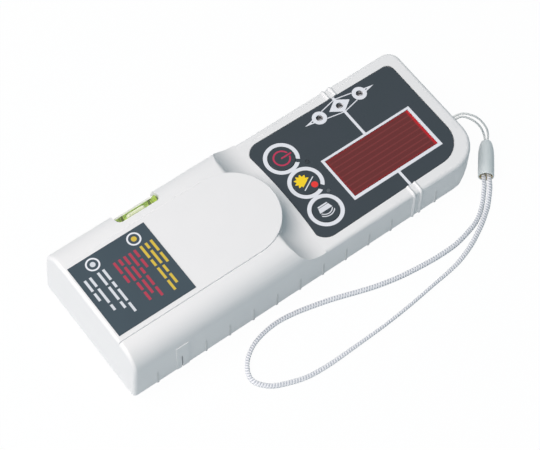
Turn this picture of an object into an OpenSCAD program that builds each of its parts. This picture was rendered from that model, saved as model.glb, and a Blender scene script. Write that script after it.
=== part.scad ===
// Laser receiver: a hand-held line detector with a sensor head, a thick grip and a wrist strap.
// It lies on its back. X runs across the case, Y runs along it to the sensor head, Z points up.
// The origin is on the back, in the middle of the case. The battery, the keys and the window set
// how long, wide and thick the case is.

/* [Case] */
// Thickness of the case walls
wall = 2.2; // [1.8:0.1:2.4]
// Width of the bare rim beside the film
rim_w = 4.1; // [3.6:0.1:5]
// Rounding of the top edge of the head
rim_r = 1.5; // [0.8:0.1:2]
// Rounding of the long shoulders of the grip
shoulder_r = 8; // [6:0.5:8.2]
// Rounding of the edges of the back
foot_r = 1.2; // [0.6:0.1:1.6]
// Corner of the head on the strap side, seen from above
near_corner_r = 13.5; // [11:0.5:14]
// Corner of the head on the other side
far_corner_r = 5; // [3:0.5:7]
// Rounding of the upright corners and of the shoulders' edge at the grip's end
end_corner_r = 1.5; // [1:0.5:3]
// Rounding of the plateau's edge at the grip's end
end_top_r = 1.4; // [0.6:0.1:2]
// How far the grip's end leans in at its top
end_lean = 1.8; // [0.5:0.1:3]
// How far the nose is set back at the back face
nose_slant = 11.4; // [8:0.2:12]
// Height of the upright edge above the slanted nose
nose_edge = 2.7; // [2:0.1:4]
// Rise of the joint between the two halves above the board
split_rise = 3.6; // [3.2:0.1:4]

/* [Plateau and ramp] */
// Width of the shoulder beside the plateau on the grip
plateau_side = 10.1; // [9:0.1:12]
// Rise of the plateau above the shoulders
plateau_rise = 0.5; // [0.4:0.05:0.8]
// Rounding of the plateau's rim
plateau_edge_r = 0.3; // [0.2:0.05:0.4]
// How far the plateau's round tip reaches past the shoulder
plateau_reach = 9; // [7:0.2:11]
// Radius of the concave ramp between grip and head
ramp_r = 13.2; // [12:0.1:16]
// Rounding of the shoulder's edge above the ramp
ramp_edge_r = 2.2; // [1:0.1:2.6]
// Wall between the door's hinge and the start of the ramp
shoulder_room = 1.35; // [1:0.05:2]

/* [Ribs and marks] */
// Distance between the grip ribs
rib_pitch = 10.57; // [9:0.01:12]
// Place of the first rib, from the grip's end
rib_start = 10.4; // [8:0.1:12]
// Width of a grip rib
rib_w = 0.8; // [0.6:0.1:1.6]
// Rise of a grip rib
rib_rise = 0.2; // [0.1:0.05:0.4]
// Length of a grip rib's slope at its top
rib_taper = 4; // [1:0.5:6]
// Width of a reference ridge
ridge_w = 1.4; // [1:0.1:1.8]
// Gap between the two reference ridges
ridge_gap = 1.8; // [1.2:0.1:2.4]
// Rise of the reference ridges
ridge_rise = 0.6; // [0.3:0.05:0.8]
// Place of the latch pad, from the grip's end
pad_start = 18.6; // [16:0.2:20]
// Width of the latch pad
pad_w = 5.3; // [4:0.1:7]
// Rise of the latch pad
pad_rise = 0.4; // [0.2:0.05:0.5]
// Place of the slot in the latch pad
slot_start = 2; // [1:0.1:3]
// Width of that slot
slot_w = 0.6; // [0.4:0.1:0.8]

/* [Overlay film] */
// Thickness of the film
film_t = 0.4; // [0.3:0.05:0.6]
// Depth of the film's face under the rim
film_sink = 0.1; // [0.05:0.05:0.2]
// Gap round the film in its recess
film_gap = 0.15; // [0.1:0.05:0.3]
// How much narrower the film is at the nose
film_taper = 2; // [0:0.2:4]
// Distance of the film's edge from the nose
film_margin = 5.1; // [4.4:0.1:6]
// Distance of the film's edge from the foot of the ramp
film_start = 1.14; // [0.8:0.02:3]
// Film corner on the strap side of the nose
film_near_r = 11.5; // [8:0.5:12.5]
// Film corner on the other side of the nose
film_far_r = 3; // [2:0.5:5]
// Film corners at the ramp
film_low_r = 6; // [4:0.5:7]
// Hollow of the film's edge at the ramp
film_bow = 1.3; // [0.5:0.1:2]

/* [Keys] */
// Radius of a key
key_r = 5.15; // [4.8:0.05:5.6]
// Gap round a key
key_gap = 0.15; // [0.1:0.05:0.25]
// Space between the flanges of two keys
key_space = 1.85; // [1:0.05:3]
// Width of the film beside the outer keys
key_side = 5.5; // [4:0.1:7]
// Sideways place of the middle key
key_x = 0.4; // [0:0.1:0.8]
// Distance of the outer keys from the film's edge at the ramp
key_start = 9.6; // [9:0.1:11]
// How far the middle key stands ahead of the others
key_bow = 1.1; // [0.5:0.1:1.5]
// Rise of a key above the film
key_rise = 0.2; // [0.1:0.05:0.4]
// Travel of a key
key_travel = 0.5; // [0.3:0.05:0.6]
// Width of the flange that keeps a key in
key_flange = 0.75; // [0.5:0.05:1]
// Thickness of that flange
key_flange_t = 0.7; // [0.5:0.05:0.9]
// Radius of a key's plunger
plunger_r = 2; // [1.5:0.1:2.5]
// Length of a key's plunger below its flange
plunger_l = 0.5; // [0.4:0.05:0.7]

/* [Window] */
// Width of the window
window_w = 18.2; // [16:0.1:19]
// Length of the window
window_l = 39; // [34:0.1:46]
// How far the window stands to the strap side of the middle key
window_shift = 6; // [5:0.1:7]
// Distance of the window from the middle key
window_room = 6.15; // [5:0.05:8]
// Distance of the window from the nose
window_nose_room = 12.6; // [12:0.1:16]
// Gap round the window
window_gap = 0.15; // [0.1:0.05:0.2]
// Flange of the window behind the case wall
window_flange = 0.9; // [0.6:0.1:1]
// Thickness of that flange
window_flange_t = 1.2; // [0.8:0.1:1.4]
// Number of ribs on the back of the window
window_ribs = 7; // [5:1:9]
// Width of those ribs
window_rib_w = 0.5; // [0.3:0.1:0.8]
// Height of those ribs
window_rib_h = 0.6; // [0.3:0.1:0.8]

/* [Lights] */
// Distance of the indicator lights from the film's side
led_side = 5; // [4.4:0.1:6]
// Distance between the indicator lights
led_pitch = 9.5; // [8:0.1:11]
// Radius of an indicator light
led_r = 1.5; // [1.2:0.05:1.6]
// Radius of an indicator light's foot
led_foot_r = 1.9; // [1.7:0.05:2]
// Height of an indicator light's foot
led_foot_h = 0.8; // [0.6:0.1:1]
// Length of an indicator light's legs above the board
led_leg_l = 2.3; // [1.5:0.1:2.6]
// Thickness of those legs
led_leg_w = 0.5; // [0.4:0.05:0.6]
// Radius of the film's hole over an indicator light
led_hole_r = 1.35; // [1:0.05:1.5]
// Radius of a status light pipe
pipe_r = 0.8; // [0.6:0.05:1]
// Radius of a status light pipe's foot
pipe_foot_r = 1.4; // [1.1:0.05:1.6]
// Sideways distance of the first status light from its key
first_pipe_x = 6.65; // [6.4:0.05:7]
// Distance of the first status light from its key along the case
first_pipe_y = 7; // [6.4:0.1:7.4]
// Sideways distance of the second status light from its key
second_pipe_x = 7.5; // [7:0.1:8]
// Distance of the second status light from its key along the case
second_pipe_y = 4.7; // [4.4:0.1:6]

/* [Vial] */
// Radius of the vial
vial_r = 2.7; // [2.4:0.1:2.9]
// Length of the vial
vial_l = 18.2; // [16:0.1:20]
// Rounding of the vial's ends
vial_end_r = 2; // [1:0.1:2.4]
// Radius of the vial's bore
vial_bore_r = 2; // [1.8:0.05:2.1]
// Length of each plug in the vial
vial_plug_l = 1.5; // [1:0.1:2]
// Distance of the vial's axis from the side of the case
vial_side = 4.3; // [4:0.1:5.2]
// Middle of the vial, from the grip's end
vial_start = 38.1; // [36:0.1:42]
// Gap between the vial and its notch
vial_gap = 0.15; // [0.1:0.05:0.3]
// Depth of the notch's floor below the shoulders
notch_depth = 8.6; // [8:0.1:9]
// Radius of the bubble
bubble_r = 1.2; // [0.9:0.05:1.25]
// Length of the bubble
bubble_l = 8.2; // [6:0.1:8.4]
// Travel of the bubble each way
bubble_travel = 3; // [2:0.1:3.2]
// Gap between the bubble and the spirit
bubble_gap = 0.15; // [0.1:0.05:0.2]

/* [Label] */
// Bare edge of the plateau beside the label
label_side = 1.95; // [1:0.05:4]
// Length of the label
label_l = 32.8; // [28:0.1:38]
// Thickness of the label
label_t = 0.2; // [0.1:0.05:0.3]
// Distance of the label from the grip's end
label_start = 3.4; // [3.2:0.1:5]

/* [Board] */
// Thickness of the main board
board_t = 1.6; // [1:0.1:1.7]
// Room between the sounder and the board
board_room = 0.9; // [0.6:0.1:1.4]
// Gap between the board's edges and the case
board_gap = 1; // [0.6:0.1:1.4]
// Distance of the board's edge from the film's edge at the ramp
board_start = 3.2; // [3:0.1:4]
// Distance of the board's far edge from the nose
board_margin = 10.8; // [10.4:0.1:11.4]
// Side of a key switch
switch_w = 6; // [5:0.1:6.4]
// Rise of a key switch's stem above its body
switch_rise = 0.8; // [0.5:0.05:1]
// Radius of a key switch's stem
switch_stem_r = 1.7; // [1.2:0.1:2]
// Side of the controller chip
chip_w = 10; // [7:0.5:10]
// Height of the controller chip
chip_h = 1.2; // [0.8:0.1:1.6]
// Distance of the chip from the indicator lights
chip_room = 1; // [0.6:0.1:1.4]
// Distance between the photodiodes in their column
diode_pitch = 6.1; // [5.2:0.1:8]
// Width of a photodiode
diode_w = 4; // [3:0.1:5]
// Length of a photodiode
diode_l = 4.6; // [3:0.1:5]
// Height of a photodiode
diode_h = 1.1; // [0.8:0.1:1.6]
// Height of the light box round the photodiodes
shield_h = 5; // [4.4:0.1:5.6]
// Thickness of the light box's walls
shield_t = 1; // [0.8:0.1:1.2]
// Radius of the sounder
sounder_r = 7; // [5:0.5:8]
// Height of the sounder
sounder_h = 2.5; // [2:0.1:2.8]
// Distance of the sounder from the keys
sounder_start = 22; // [18:0.5:26]
// Radius of a sound hole
sound_hole_r = 0.7; // [0.5:0.05:0.9]
// Number of sound holes in the ring
sound_holes = 6; // [4:1:8]

/* [Battery] */
// Width of the battery
battery_w = 26.5; // [22:0.1:28]
// Length of the battery's body
battery_l = 46.4; // [38:0.1:56]
// Thickness of the battery
battery_h = 17.5; // [16:0.1:20]
// Corner of the battery's body
battery_corner_r = 2; // [1:0.1:3]
// Distance between the battery's terminals
terminal_pitch = 12.7; // [12:0.1:13]
// Radius of the stud terminal
stud_r = 2.8; // [2.4:0.05:2.8]
// Outer radius of the socket terminal
socket_r = 4; // [3.6:0.1:4.2]
// Height of the terminals
terminal_h = 2.6; // [2:0.1:2.8]
// Gap between a stud and its socket
terminal_gap = 0.15; // [0.1:0.05:0.2]
// Thickness of the contact plate
contact_t = 1.2; // [1:0.1:1.4]
// Radius of a battery lead
lead_r = 0.6; // [0.5:0.05:0.8]
// Distance of a battery lead from the middle
lead_x = 4; // [3:0.1:5]
// Gap between the battery leads' ends and the board
lead_gap = 0.2; // [0.15:0.05:0.3]
// Gap round the battery
battery_gap = 0.4; // [0.3:0.05:0.6]
// Room above the battery
battery_room = 2.85; // [2.4:0.05:3.2]
// Thickness of the battery bay's walls
bay_wall = 1.3; // [1:0.1:1.5]
// How far the bay's walls end below the battery's top
bay_drop = 0.45; // [0.3:0.05:2]
// Room between the bay and the grip's screw posts
bay_room = 2.2; // [2:0.1:4]
// Thickness of the grip's floor
grip_floor = 3.4; // [3.2:0.1:3.8]

/* [Battery door] */
// Thickness of the door
door_t = 1.8; // [1.6:0.1:1.9]
// Depth of the door's face under the back
door_sink = 0.25; // [0.2:0.05:0.3]
// Gap round the door
door_gap = 0.25; // [0.2:0.05:0.35]
// Ledge that the door closes on
door_ledge = 1.8; // [1.5:0.1:2]
// Radius of the door's hinge bead
bead_r = 1; // [0.8:0.05:1]
// Gap round the hinge bead
bead_gap = 0.3; // [0.25:0.05:0.35]
// Radius of the pins at both ends of the bead
door_pin_r = 0.75; // [0.6:0.05:0.8]
// Length of those pins
door_pin_l = 1.4; // [1:0.1:2]
// Width of the door's latch
latch_w = 10; // [6:0.5:14]
// Thickness of the door's latch
latch_t = 1.2; // [1:0.1:1.2]
// Height of the door's latch
latch_h = 2.3; // [2:0.1:2.6]
// Radius of the finger notch by the latch
finger_r = 9; // [7:0.5:11]
// Depth of the finger notch
finger_depth = 1; // [0.6:0.1:1.2]
// Length of the finger notch
finger_l = 4.5; // [3:0.1:5]

/* [Clamp insert and screws] */
// Distance of the clamp insert from the start of the ramp
insert_start = 7.2; // [7:0.1:7.6]
// Radius of the insert's tapped hole
insert_bore_r = 2.6; // [2.2:0.05:3]
// Outer radius of the insert
insert_r = 4.2; // [3.8:0.1:4.4]
// Length of the insert
insert_l = 8; // [6:0.1:8.4]
// Wall of the boss round the insert
insert_boss = 1.6; // [1.2:0.1:2]
// Depth of the insert's face under the back
insert_sink = 0.1; // [0.05:0.05:0.2]
// Radius of a screw's shank
screw_r = 1.2; // [1:0.05:1.3]
// Radius of a screw's head
screw_head_r = 2.3; // [2:0.05:2.5]
// Height of a screw's head
screw_head_h = 1.7; // [1.2:0.1:1.8]
// Height of the seat of the case screws' heads
screw_seat = 2.6; // [2.4:0.1:2.8]
// Gap round a screw
screw_gap = 0.1; // [0.05:0.05:0.15]
// Grip of a screw's thread in its boss
screw_bite = 0.05; // [0.02:0.01:0.08]
// Wall of the posts round the screws
post_wall = 1.6; // [1.3:0.1:1.8]
// Distance of the grip's screws from the sides
grip_screw_side = 8.9; // [8.4:0.1:10]
// Distance of the grip's screws from the grip's end
grip_screw_start = 9; // [8:0.1:10]
// Length of the grip's screws below their heads
grip_screw_l = 13.4; // [10:0.1:15]
// Room between the window's flange and the screw post beside it
near_screw_room = 0.7; // [0.5:0.1:1]
// Distance of the other head screw from the side
far_screw_side = 6.9; // [6.6:0.1:7.2]
// Room between the last light and the screw post beside it
far_screw_room = 0.3; // [0.2:0.1:1]
// Distance of the head's screws from the nose
nose_screw_room = 17.5; // [17.2:0.1:20]
// Length of the head's screws below their heads
head_screw_l = 9.4; // [8:0.1:9.8]
// Distance of the board's screws from the sides
board_screw_side = 6.9; // [6.6:0.1:7.2]
// Distance of the board's screws from the board's edge
board_screw_start = 3.4; // [3.2:0.1:4]
// Length of the board's screws below their heads
board_screw_l = 4; // [3:0.1:4.4]

/* [Wrist strap] */
// Distance of the strap's pocket from the rounded corner
strap_side = 5.3; // [4:0.1:6]
// Width of the strap's pocket
pocket_w = 8; // [6:0.5:9]
// Depth of the strap's pocket
pocket_l = 5; // [4.8:0.1:5.2]
// Radius of the pin that holds the strap
pin_r = 1; // [0.8:0.05:1]
// Distance of that pin from the nose
pin_nose_room = 2.7; // [2.6:0.1:2.9]
// Length of the pin in the case on each side of the pocket
pin_seat = 1.5; // [1:0.1:2]
// Gap round the pin in its seat
pin_gap = 0.05; // [0.03:0.01:0.08]
// Room for the string above and below
string_room = 0.1; // [0.08:0.01:0.2]
// Thickness of the strap's string
string_d = 0.8; // [0.6:0.1:1]
// Thickness of the strap's cord
cord_d = 2; // [1.6:0.1:2.4]
// Radius of the ferrule
ferrule_r = 3.1; // [2.9:0.1:3.2]
// Radius of the ferrule's tip at the string
ferrule_tip_r = 1.35; // [1.2:0.05:1.6]
// Length of the ferrule
ferrule_l = 16.2; // [15:0.1:17]
// Length of the ferrule's rounded nose
ferrule_nose_l = 8.5; // [6:0.5:10]
// Wall of the ferrule round its mouth
ferrule_wall = 0.6; // [0.4:0.05:0.8]
// Depth of the ferrule's mouth
ferrule_mouth_l = 2; // [1:0.1:3]

/* [Hidden] */
$fn = 48;

// Overrun of every cut past the face that it opens
over = 1;
// Least rounding of a corner that is hidden in another piece
nick_r = 0.15;
// Steps of a rounded corner, of a rounded edge and of the shoulders
corner_steps = 8;
edge_steps = 4;
shoulder_steps = 8;
// Steps of the ramp, of the plateau's round tip and of a ridge's rounded back
ramp_steps = 12;
tip_steps = 40;
ridge_steps = 6;
// Sides of a cord, and smooth steps between two of its route points
cord_sides = 8;
cord_steps = 2;
// Share of the upward way from which a cord counts as steep
steep_share = 0.9;

// Radii of the screw posts, of the larger ones round the grip's screw heads and of the heads' seats
post_r = screw_r + screw_gap + post_wall;
seat_r = screw_head_r + 2 * screw_gap;
grip_post_r = seat_r + post_wall;

// Stack of heights: the back's wall, sounder, board, light box, window, wall and film
floor_z = wall;
board_z = floor_z + sounder_h + board_room;
board_top = board_z + board_t;
split_h = board_top + split_rise;
window_under_z = board_top + shield_h + screw_gap;
ceiling_z = window_under_z + window_flange_t;
film_z = ceiling_z + wall;
film_top = film_z + film_t;
head_h = film_top + film_sink;
nose_h = head_h - nose_edge;
// Stack of heights in the grip: the door, the battery, the room above it and the wall
battery_z = door_sink + door_t + battery_gap;
terminal_z = battery_z + battery_h / 2;
bay_h = battery_z + battery_h - bay_drop;
grip_ceiling_z = battery_z + battery_h + battery_room;
grip_h = grip_ceiling_z + wall;
plateau_h = grip_h + plateau_rise;
pad_h = grip_h - shoulder_r;

// Widths: three keys and the film's sides, then the rims
key_pitch = 2 * (key_r + key_flange) + key_space;
film_low_w = 2 * (key_pitch + key_r + key_side);
film_high_w = film_low_w - film_taper;
case_w = film_low_w + 2 * rim_w;
half_w = case_w / 2;
plateau_w = case_w - 2 * plateau_side;
plateau_r = plateau_w / 2;
label_w = plateau_w - 2 * label_side;

// Lengths of the grip, from its end to the start of the ramp
bay_start = grip_screw_start + grip_post_r + bay_room + bay_wall;
battery_start = bay_start + 2 * door_gap + latch_t + battery_gap;
contact_start = battery_start + battery_l + terminal_h + terminal_gap;
bay_end = contact_start + contact_t + terminal_gap;
grip_l = bay_end + 2 * bead_r + bead_gap + shoulder_room;
// Lengths of the head, from the start of the ramp to the nose
ramp_drop = grip_h - head_h;
ramp_l = sqrt(2 * ramp_r * ramp_drop - pow(ramp_drop, 2));
key_l = ramp_l + film_start + key_start;
window_end = key_l + key_bow + key_r + window_room + window_l;
screw_end = window_end - window_l / 2 + led_pitch + led_foot_r + post_r + far_screw_room;
head_l = max(window_end + window_nose_room, screw_end + nose_screw_room);
case_l = grip_l + head_l;

// Places along the case
end_y = -case_l / 2;
nose_y = case_l / 2;
shoulder_y = end_y + grip_l;
ramp_foot_y = shoulder_y + ramp_l;
film_low_y = ramp_foot_y + film_start;
key_y = shoulder_y + key_l;
reference_y = shoulder_y + window_end - window_l / 2;
plateau_tip_y = shoulder_y + plateau_reach;
insert_y = shoulder_y + insert_start;
sounder_y = key_y + sounder_start;
board_low_y = film_low_y + board_start;
bay_low_y = end_y + bay_start;
battery_y = end_y + battery_start + battery_l / 2;
contact_y = end_y + contact_start;
bay_high_y = end_y + bay_end;
bead_y = bay_high_y + bead_r;
bead_z = door_sink + bead_r;
vial_y = end_y + vial_start;
head_screw_y = shoulder_y + screw_end;

// Places across the case
window_x = key_x + window_shift;
led_x = film_low_w / 2 - led_side;
vial_x = half_w - vial_side;
strap_x = half_w - near_corner_r - strap_side;
near_screw_x = window_x + window_w / 2 + window_flange + post_r + near_screw_room;
bay_half_w = battery_w / 2 + battery_gap;
door_half_w = bay_half_w + door_ledge - door_gap;
door_low_y = bay_low_y - door_ledge + door_gap;

// Half widths of the hollow in the head and in the grip, and the far end of the head's
head_hollow_w = half_w - wall;
grip_hollow_share = 0.75;
grip_hollow_w = half_w - shoulder_r + wall * grip_hollow_share;
head_hollow_y = nose_y - pocket_l - wall;
// The nose wall is measured along the case, where its slant makes it thicker
nose_wall_share = 1.35;
nose_wall = wall * nose_wall_share;
// Shares of the battery's height for its contact plate, and of the head's room for the leads' height
contact_share = 0.8;
lead_rise_share = 0.5;

key_places = [for (i = [-1:1]) [key_x + i * key_pitch, key_y + key_bow * (1 - abs(i))]];
led_places = [for (i = [-1:1]) [-led_x, reference_y + i * led_pitch]];
pipe_places = [key_places[0] + [first_pipe_x, first_pipe_y],
    key_places[1] + [second_pipe_x, second_pipe_y]];
grip_screws = [for (s = [-1, 1]) [s * (half_w - grip_screw_side), end_y + grip_screw_start]];
head_screws = [[near_screw_x, head_screw_y], [far_screw_side - half_w, head_screw_y]];
board_screws_at = [for (s = [-1, 1]) [s * (half_w - board_screw_side), board_low_y + board_screw_start]];

vial_z = grip_h - notch_depth + vial_r + vial_gap;
vial_hollow_l = vial_l - 2 * vial_plug_l;
bubble_z = vial_z + vial_bore_r - bubble_r - bubble_gap;

key_top = film_top + key_rise;
key_flange_z = ceiling_z - 2 * film_gap;
plunger_z = key_flange_z - key_flange_t - plunger_l;
switch_stem_z = plunger_z - key_travel - key_gap / 2;
switch_top = switch_stem_z - switch_rise;
shield_w = window_w + 2 * window_flange;
shield_l = window_l + 2 * window_flange;

// The string goes round the pin in straight steps, from the top to a little past the bottom
turn_step = 30;
turn_steps = 7;
string_turn_r = (pin_r + string_d / 2 + pin_gap) / cos(turn_step / 2);
pocket_h = 2 * (string_turn_r + string_d / 2 + string_room);
pin_z = split_h + film_gap + pocket_h / 2;

// Route of the string: out of the ferrule and up to the pin, then from the pin back to the ferrule
string_out = [[20.9, 89.1, 3.2], [19.8, 90.1, 3.5], [18.9, 90.8, 4.5], [18.0, 91.0, 6.0], [16.8, 90.6, 8.2],
    [15.1, 89.8, 10.2], [13.4, 88.6, 11.9], [11.9, 87.0, 13.0], [10.5, 85.3, 13.7], [9.5, 83.2, 14.0],
    [9.2, 80.6, 14.1]];
string_back = [[10.1, 80.8, 13.2], [10.4, 82.8, 13.5], [11.2, 84.5, 13.0],
    [12.5, 86.0, 12.1], [14.0, 87.3, 10.9], [15.3, 88.4, 9.2], [16.4, 89.1, 7.4], [17.5, 89.4, 5.6],
    [18.4, 89.4, 4.3], [19.3, 89.0, 3.5], [20.3, 88.3, 3.2]];
// Route of the cord: out of the ferrule, round its loop on the table and back
cord_route = [[30.5, 79.0, 3.1], [32.3, 77.8, 3.1], [34.9, 76.0, 2.6], [37.7, 73.4, 1.6], [40.4, 70.5, 1.0],
    [42.6, 67.6, 1.0], [44.2, 64.8, 1.0], [45.3, 62.0, 1.0], [46.7, 56.6, 1.0], [47.6, 51.0, 1.0],
    [47.7, 43.4, 1.0], [47.1, 35.2, 1.0], [45.9, 26.0, 1.0], [43.9, 17.0, 1.0], [41.4, 9.0, 1.0],
    [38.8, 1.2, 1.0], [36.8, -6.2, 1.0], [35.2, -13.4, 1.0], [34.4, -20.4, 1.0], [35.0, -27.6, 1.0],
    [37.2, -34.4, 1.0], [41.8, -40.2, 1.0], [47.8, -42.3, 1.0], [53.2, -38.6, 1.0], [56.4, -32.0, 1.0],
    [58.4, -25.0, 1.0], [59.1, -16.0, 1.0], [58.9, -4.0, 1.0], [58.5, 9.4, 1.0], [57.6, 21.0, 1.0],
    [56.1, 33.6, 1.0], [54.3, 46.4, 1.0], [51.4, 55.6, 1.0], [48.2, 62.2, 1.0], [45.8, 66.4, 1.0],
    [44.2, 68.8, 1.0], [42.0, 71.9, 1.0], [39.1, 75.0, 1.6], [36.3, 77.6, 2.6], [33.7, 79.4, 3.1],
    [31.9, 80.6, 3.1]];
// Start and way of the ferrule's axis
ferrule_from = [20.0, 89.2];
ferrule_way = [12.4, -10.4];

// Unit vector of a direction
function unit(v) = v / norm(v);

// Points of a corner rounded to radius r between two straight edges
function round_corner(before, at, after, r, steps) =
    let (u = unit(before - at), v = unit(after - at))
    let (half = acos(u * v) / 2, turn = 180 - 2 * half)
    let (centre = at + unit(u + v) * r / sin(half))
    let (a = at + u * r / tan(half) - centre, b = at + v * r / tan(half) - centre)
    [for (i = [0:steps]) centre + (sin(turn * (1 - i / steps)) * a + sin(turn * i / steps) * b) / sin(turn)];

// Outline with each of its corners rounded to its own radius
function rounded(points, radii, steps) =
    let (n = len(points))
    [for (i = [0:n - 1])
        each round_corner(points[(i + n - 1) % n], points[i], points[(i + 1) % n], radii[i], steps)];

// Ring of the case seen from above, at height z, from y_low to y_high
function case_ring(half, y_low, y_high, z, radii) =
    [for (p = rounded([[half, y_low], [half, y_high], [-half, y_high], [-half, y_low]], radii, corner_steps))
        [p.x, p.y, z]];

// Ends of the case at height z
function nose_at(z) = nose_y - nose_slant * (1 - min(z, nose_h) / nose_h);
function end_at(z) = end_y + end_lean * (z - foot_r) / plateau_h;

// Rings of the back half of the case, with the rounded edge of the back
function rear_rings() =
    [for (i = [0:edge_steps])
        let (a = 90 * i / edge_steps, inset = foot_r * (1 - sin(a)), z = foot_r * (1 - cos(a)))
        case_ring(half_w - inset, end_at(z) + inset, nose_y - inset, z,
            [end_corner_r, near_corner_r, far_corner_r, end_corner_r]),
     case_ring(half_w, end_at(split_h), nose_y, split_h,
            [end_corner_r, near_corner_r, far_corner_r, end_corner_r])];

// Rings of the sensor head above the joint
function head_rings() =
    [case_ring(half_w, shoulder_y, nose_y, split_h,
            [end_corner_r, near_corner_r, far_corner_r, end_corner_r]),
     for (i = [0:edge_steps])
        let (a = 90 * i / edge_steps, inset = rim_r * (1 - cos(a)), z = head_h - rim_r + rim_r * sin(a))
        case_ring(half_w - inset, shoulder_y, nose_y - inset, z,
            [end_corner_r, near_corner_r - inset, far_corner_r - inset, end_corner_r])];

// One side of the grip's section above the joint, from the joint up and over the shoulder, as x and z
function grip_side(inset) =
    concat([[half_w - inset, split_h]],
        [for (i = [0:shoulder_steps])
            let (a = 90 * i / shoulder_steps)
            [half_w - shoulder_r, grip_h - shoulder_r] + (shoulder_r - inset) * [cos(a), sin(a)]]);

// Whole section of the grip, a given way behind its leaning end
function grip_section(inset, behind) =
    let (side = grip_side(inset), last = len(side) - 1)
    concat([for (p = side) [-p.x, end_at(p.y) + behind, p.y]],
        [for (i = [0:last]) let (p = side[last - i]) [p.x, end_at(p.y) + behind, p.y]]);

// Sections of the grip above the joint: the rounded edge of its end, then straight on to the ramp's foot
function grip_sections() =
    [for (i = [0:corner_steps])
        let (a = 90 * i / corner_steps)
        grip_section(end_corner_r * (1 - sin(a)), end_corner_r * (1 - cos(a))),
     [for (p = grip_section(0, 0)) [p.x, ramp_foot_y, p.z]]];

// Point between b and c on a smooth curve through a, b, c and d
function smooth(a, b, c, d, t) =
    (2 * b + (c - a) * t + (2 * a - 5 * b + 4 * c - d) * pow(t, 2)
        + (3 * b - a - 3 * c + d) * pow(t, 3)) / 2;

// Smooth route through the given points
function route(points, steps) =
    let (n = len(points) - 1)
    [for (i = [0:n - 1], k = [0:steps - 1])
        smooth(points[max(0, i - 1)], points[i], points[i + 1], points[min(n, i + 2)], k / steps),
     points[n]];

// Ring of points round a route's point, square to the way d
function tube_ring(at, d, r) =
    let (u = unit(cross(d, abs(d.z) < steep_share ? [0, 0, 1] : [1, 0, 0])), v = cross(u, d))
    [for (k = [0:cord_sides - 1])
        at + r * (cos(360 * k / cord_sides) * u + sin(360 * k / cord_sides) * v)];

// Closed solid through rings that all have the same number of points
module loft(rings) {
    n = len(rings[0]);
    m = len(rings);
    polyhedron(
        points = [for (ring = rings) each ring],
        faces = [
            [for (i = [0:n - 1]) i],
            [for (i = [0:n - 1]) m * n - 1 - i],
            for (j = [0:m - 2], i = [0:n - 1])
                [j * n + i, (j + 1) * n + i, (j + 1) * n + (i + 1) % n, j * n + (i + 1) % n]
        ]);
}

// Round tube of radius r along a route
module tube(points, r) {
    n = len(points) - 1;
    loft([for (i = [0:n])
        tube_ring(points[i], unit(points[min(n, i + 1)] - points[max(0, i - 1)]), r)]);
}

// Box between two corners
module box(low, high) {
    translate(low) cube(high - low);
}

// Upright cylinder from z_low to z_high
module rod(at, r, z_low, z_high) {
    translate([at.x, at.y, z_low]) cylinder(r = r, h = z_high - z_low);
}

// Outline of the film, grown by the gap on every side
module film_outline(gap) {
    low = film_low_w / 2 + gap;
    high = film_high_w / 2 + gap;
    low_y = film_low_y - gap;
    high_y = nose_y - film_margin + gap;
    bow_r = (pow(film_low_w / 2, 2) + pow(film_bow, 2)) / (2 * film_bow);
    difference() {
        polygon(rounded([[low, low_y], [high, high_y], [-high, high_y], [-low, low_y]],
            [film_low_r, film_near_r, film_far_r, film_low_r], corner_steps));
        translate([0, low_y + film_bow - bow_r]) circle(r = bow_r);
    }
}

// Half width of the film at a place along the case
function film_half_w(y) =
    (film_low_w - film_taper * (y - film_low_y) / (nose_y - film_margin - film_low_y)) / 2;

// Rectangle of the window, grown by the gap on every side
module window_outline(gap) {
    translate([window_x, reference_y])
        square([window_w + 2 * gap, window_l + 2 * gap], center = true);
}

// Openings for the window, the keys and the lights, cut through everything above z_low
module panel_openings(z_low, led_hole, pipe_hole) {
    height = key_top + over - z_low;
    translate([0, 0, z_low]) linear_extrude(height) window_outline(window_gap);
    for (p = key_places) rod(p, key_r + key_gap, z_low, z_low + height);
    for (p = led_places) rod(p, led_hole, z_low, z_low + height);
    for (p = pipe_places) rod(p, pipe_hole, z_low, z_low + height);
}

// Ring of the plateau's pill shape, with its round tip towards the head
function plateau_ring(inset, z) =
    let (r = plateau_r - inset)
    concat([[-r, end_y - over, z], [r, end_y - over, z]],
        [for (k = [0:tip_steps])
            let (a = 180 * k / tip_steps)
            [r * cos(a), plateau_tip_y - plateau_r + r * sin(a), z]]);

// Plateau with its rounded rim
module plateau() {
    loft([plateau_ring(0, split_h),
        for (i = [0:edge_steps])
            let (a = 90 * i / edge_steps)
            plateau_ring(plateau_edge_r * (1 - cos(a)), plateau_h - plateau_edge_r * (1 - sin(a)))]);
}

// Space under the slanted face of the nose
module nose_cut() {
    rise = nose_h / nose_slant;
    rotate([90, 0, 90])
        translate([0, 0, -half_w - over])
            linear_extrude(case_w + 2 * over)
                polygon([[nose_at(0) - over, -over * rise], [nose_y + over, -over * rise],
                    [nose_y + over, nose_h + over * rise]]);
}

// Everything on the head's side of the grip's leaning end, with the rounded edge of the plateau there
module behind_end() {
    rotate([90, 0, 90])
        translate([0, 0, -half_w - over])
            linear_extrude(case_w + 2 * over)
                polygon(concat([[end_at(0), 0], [nose_y, 0], [nose_y, plateau_h]],
                    round_corner([nose_y, plateau_h], [end_at(plateau_h), plateau_h], [end_at(0), 0],
                        end_top_r, edge_steps)));
}

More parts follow.
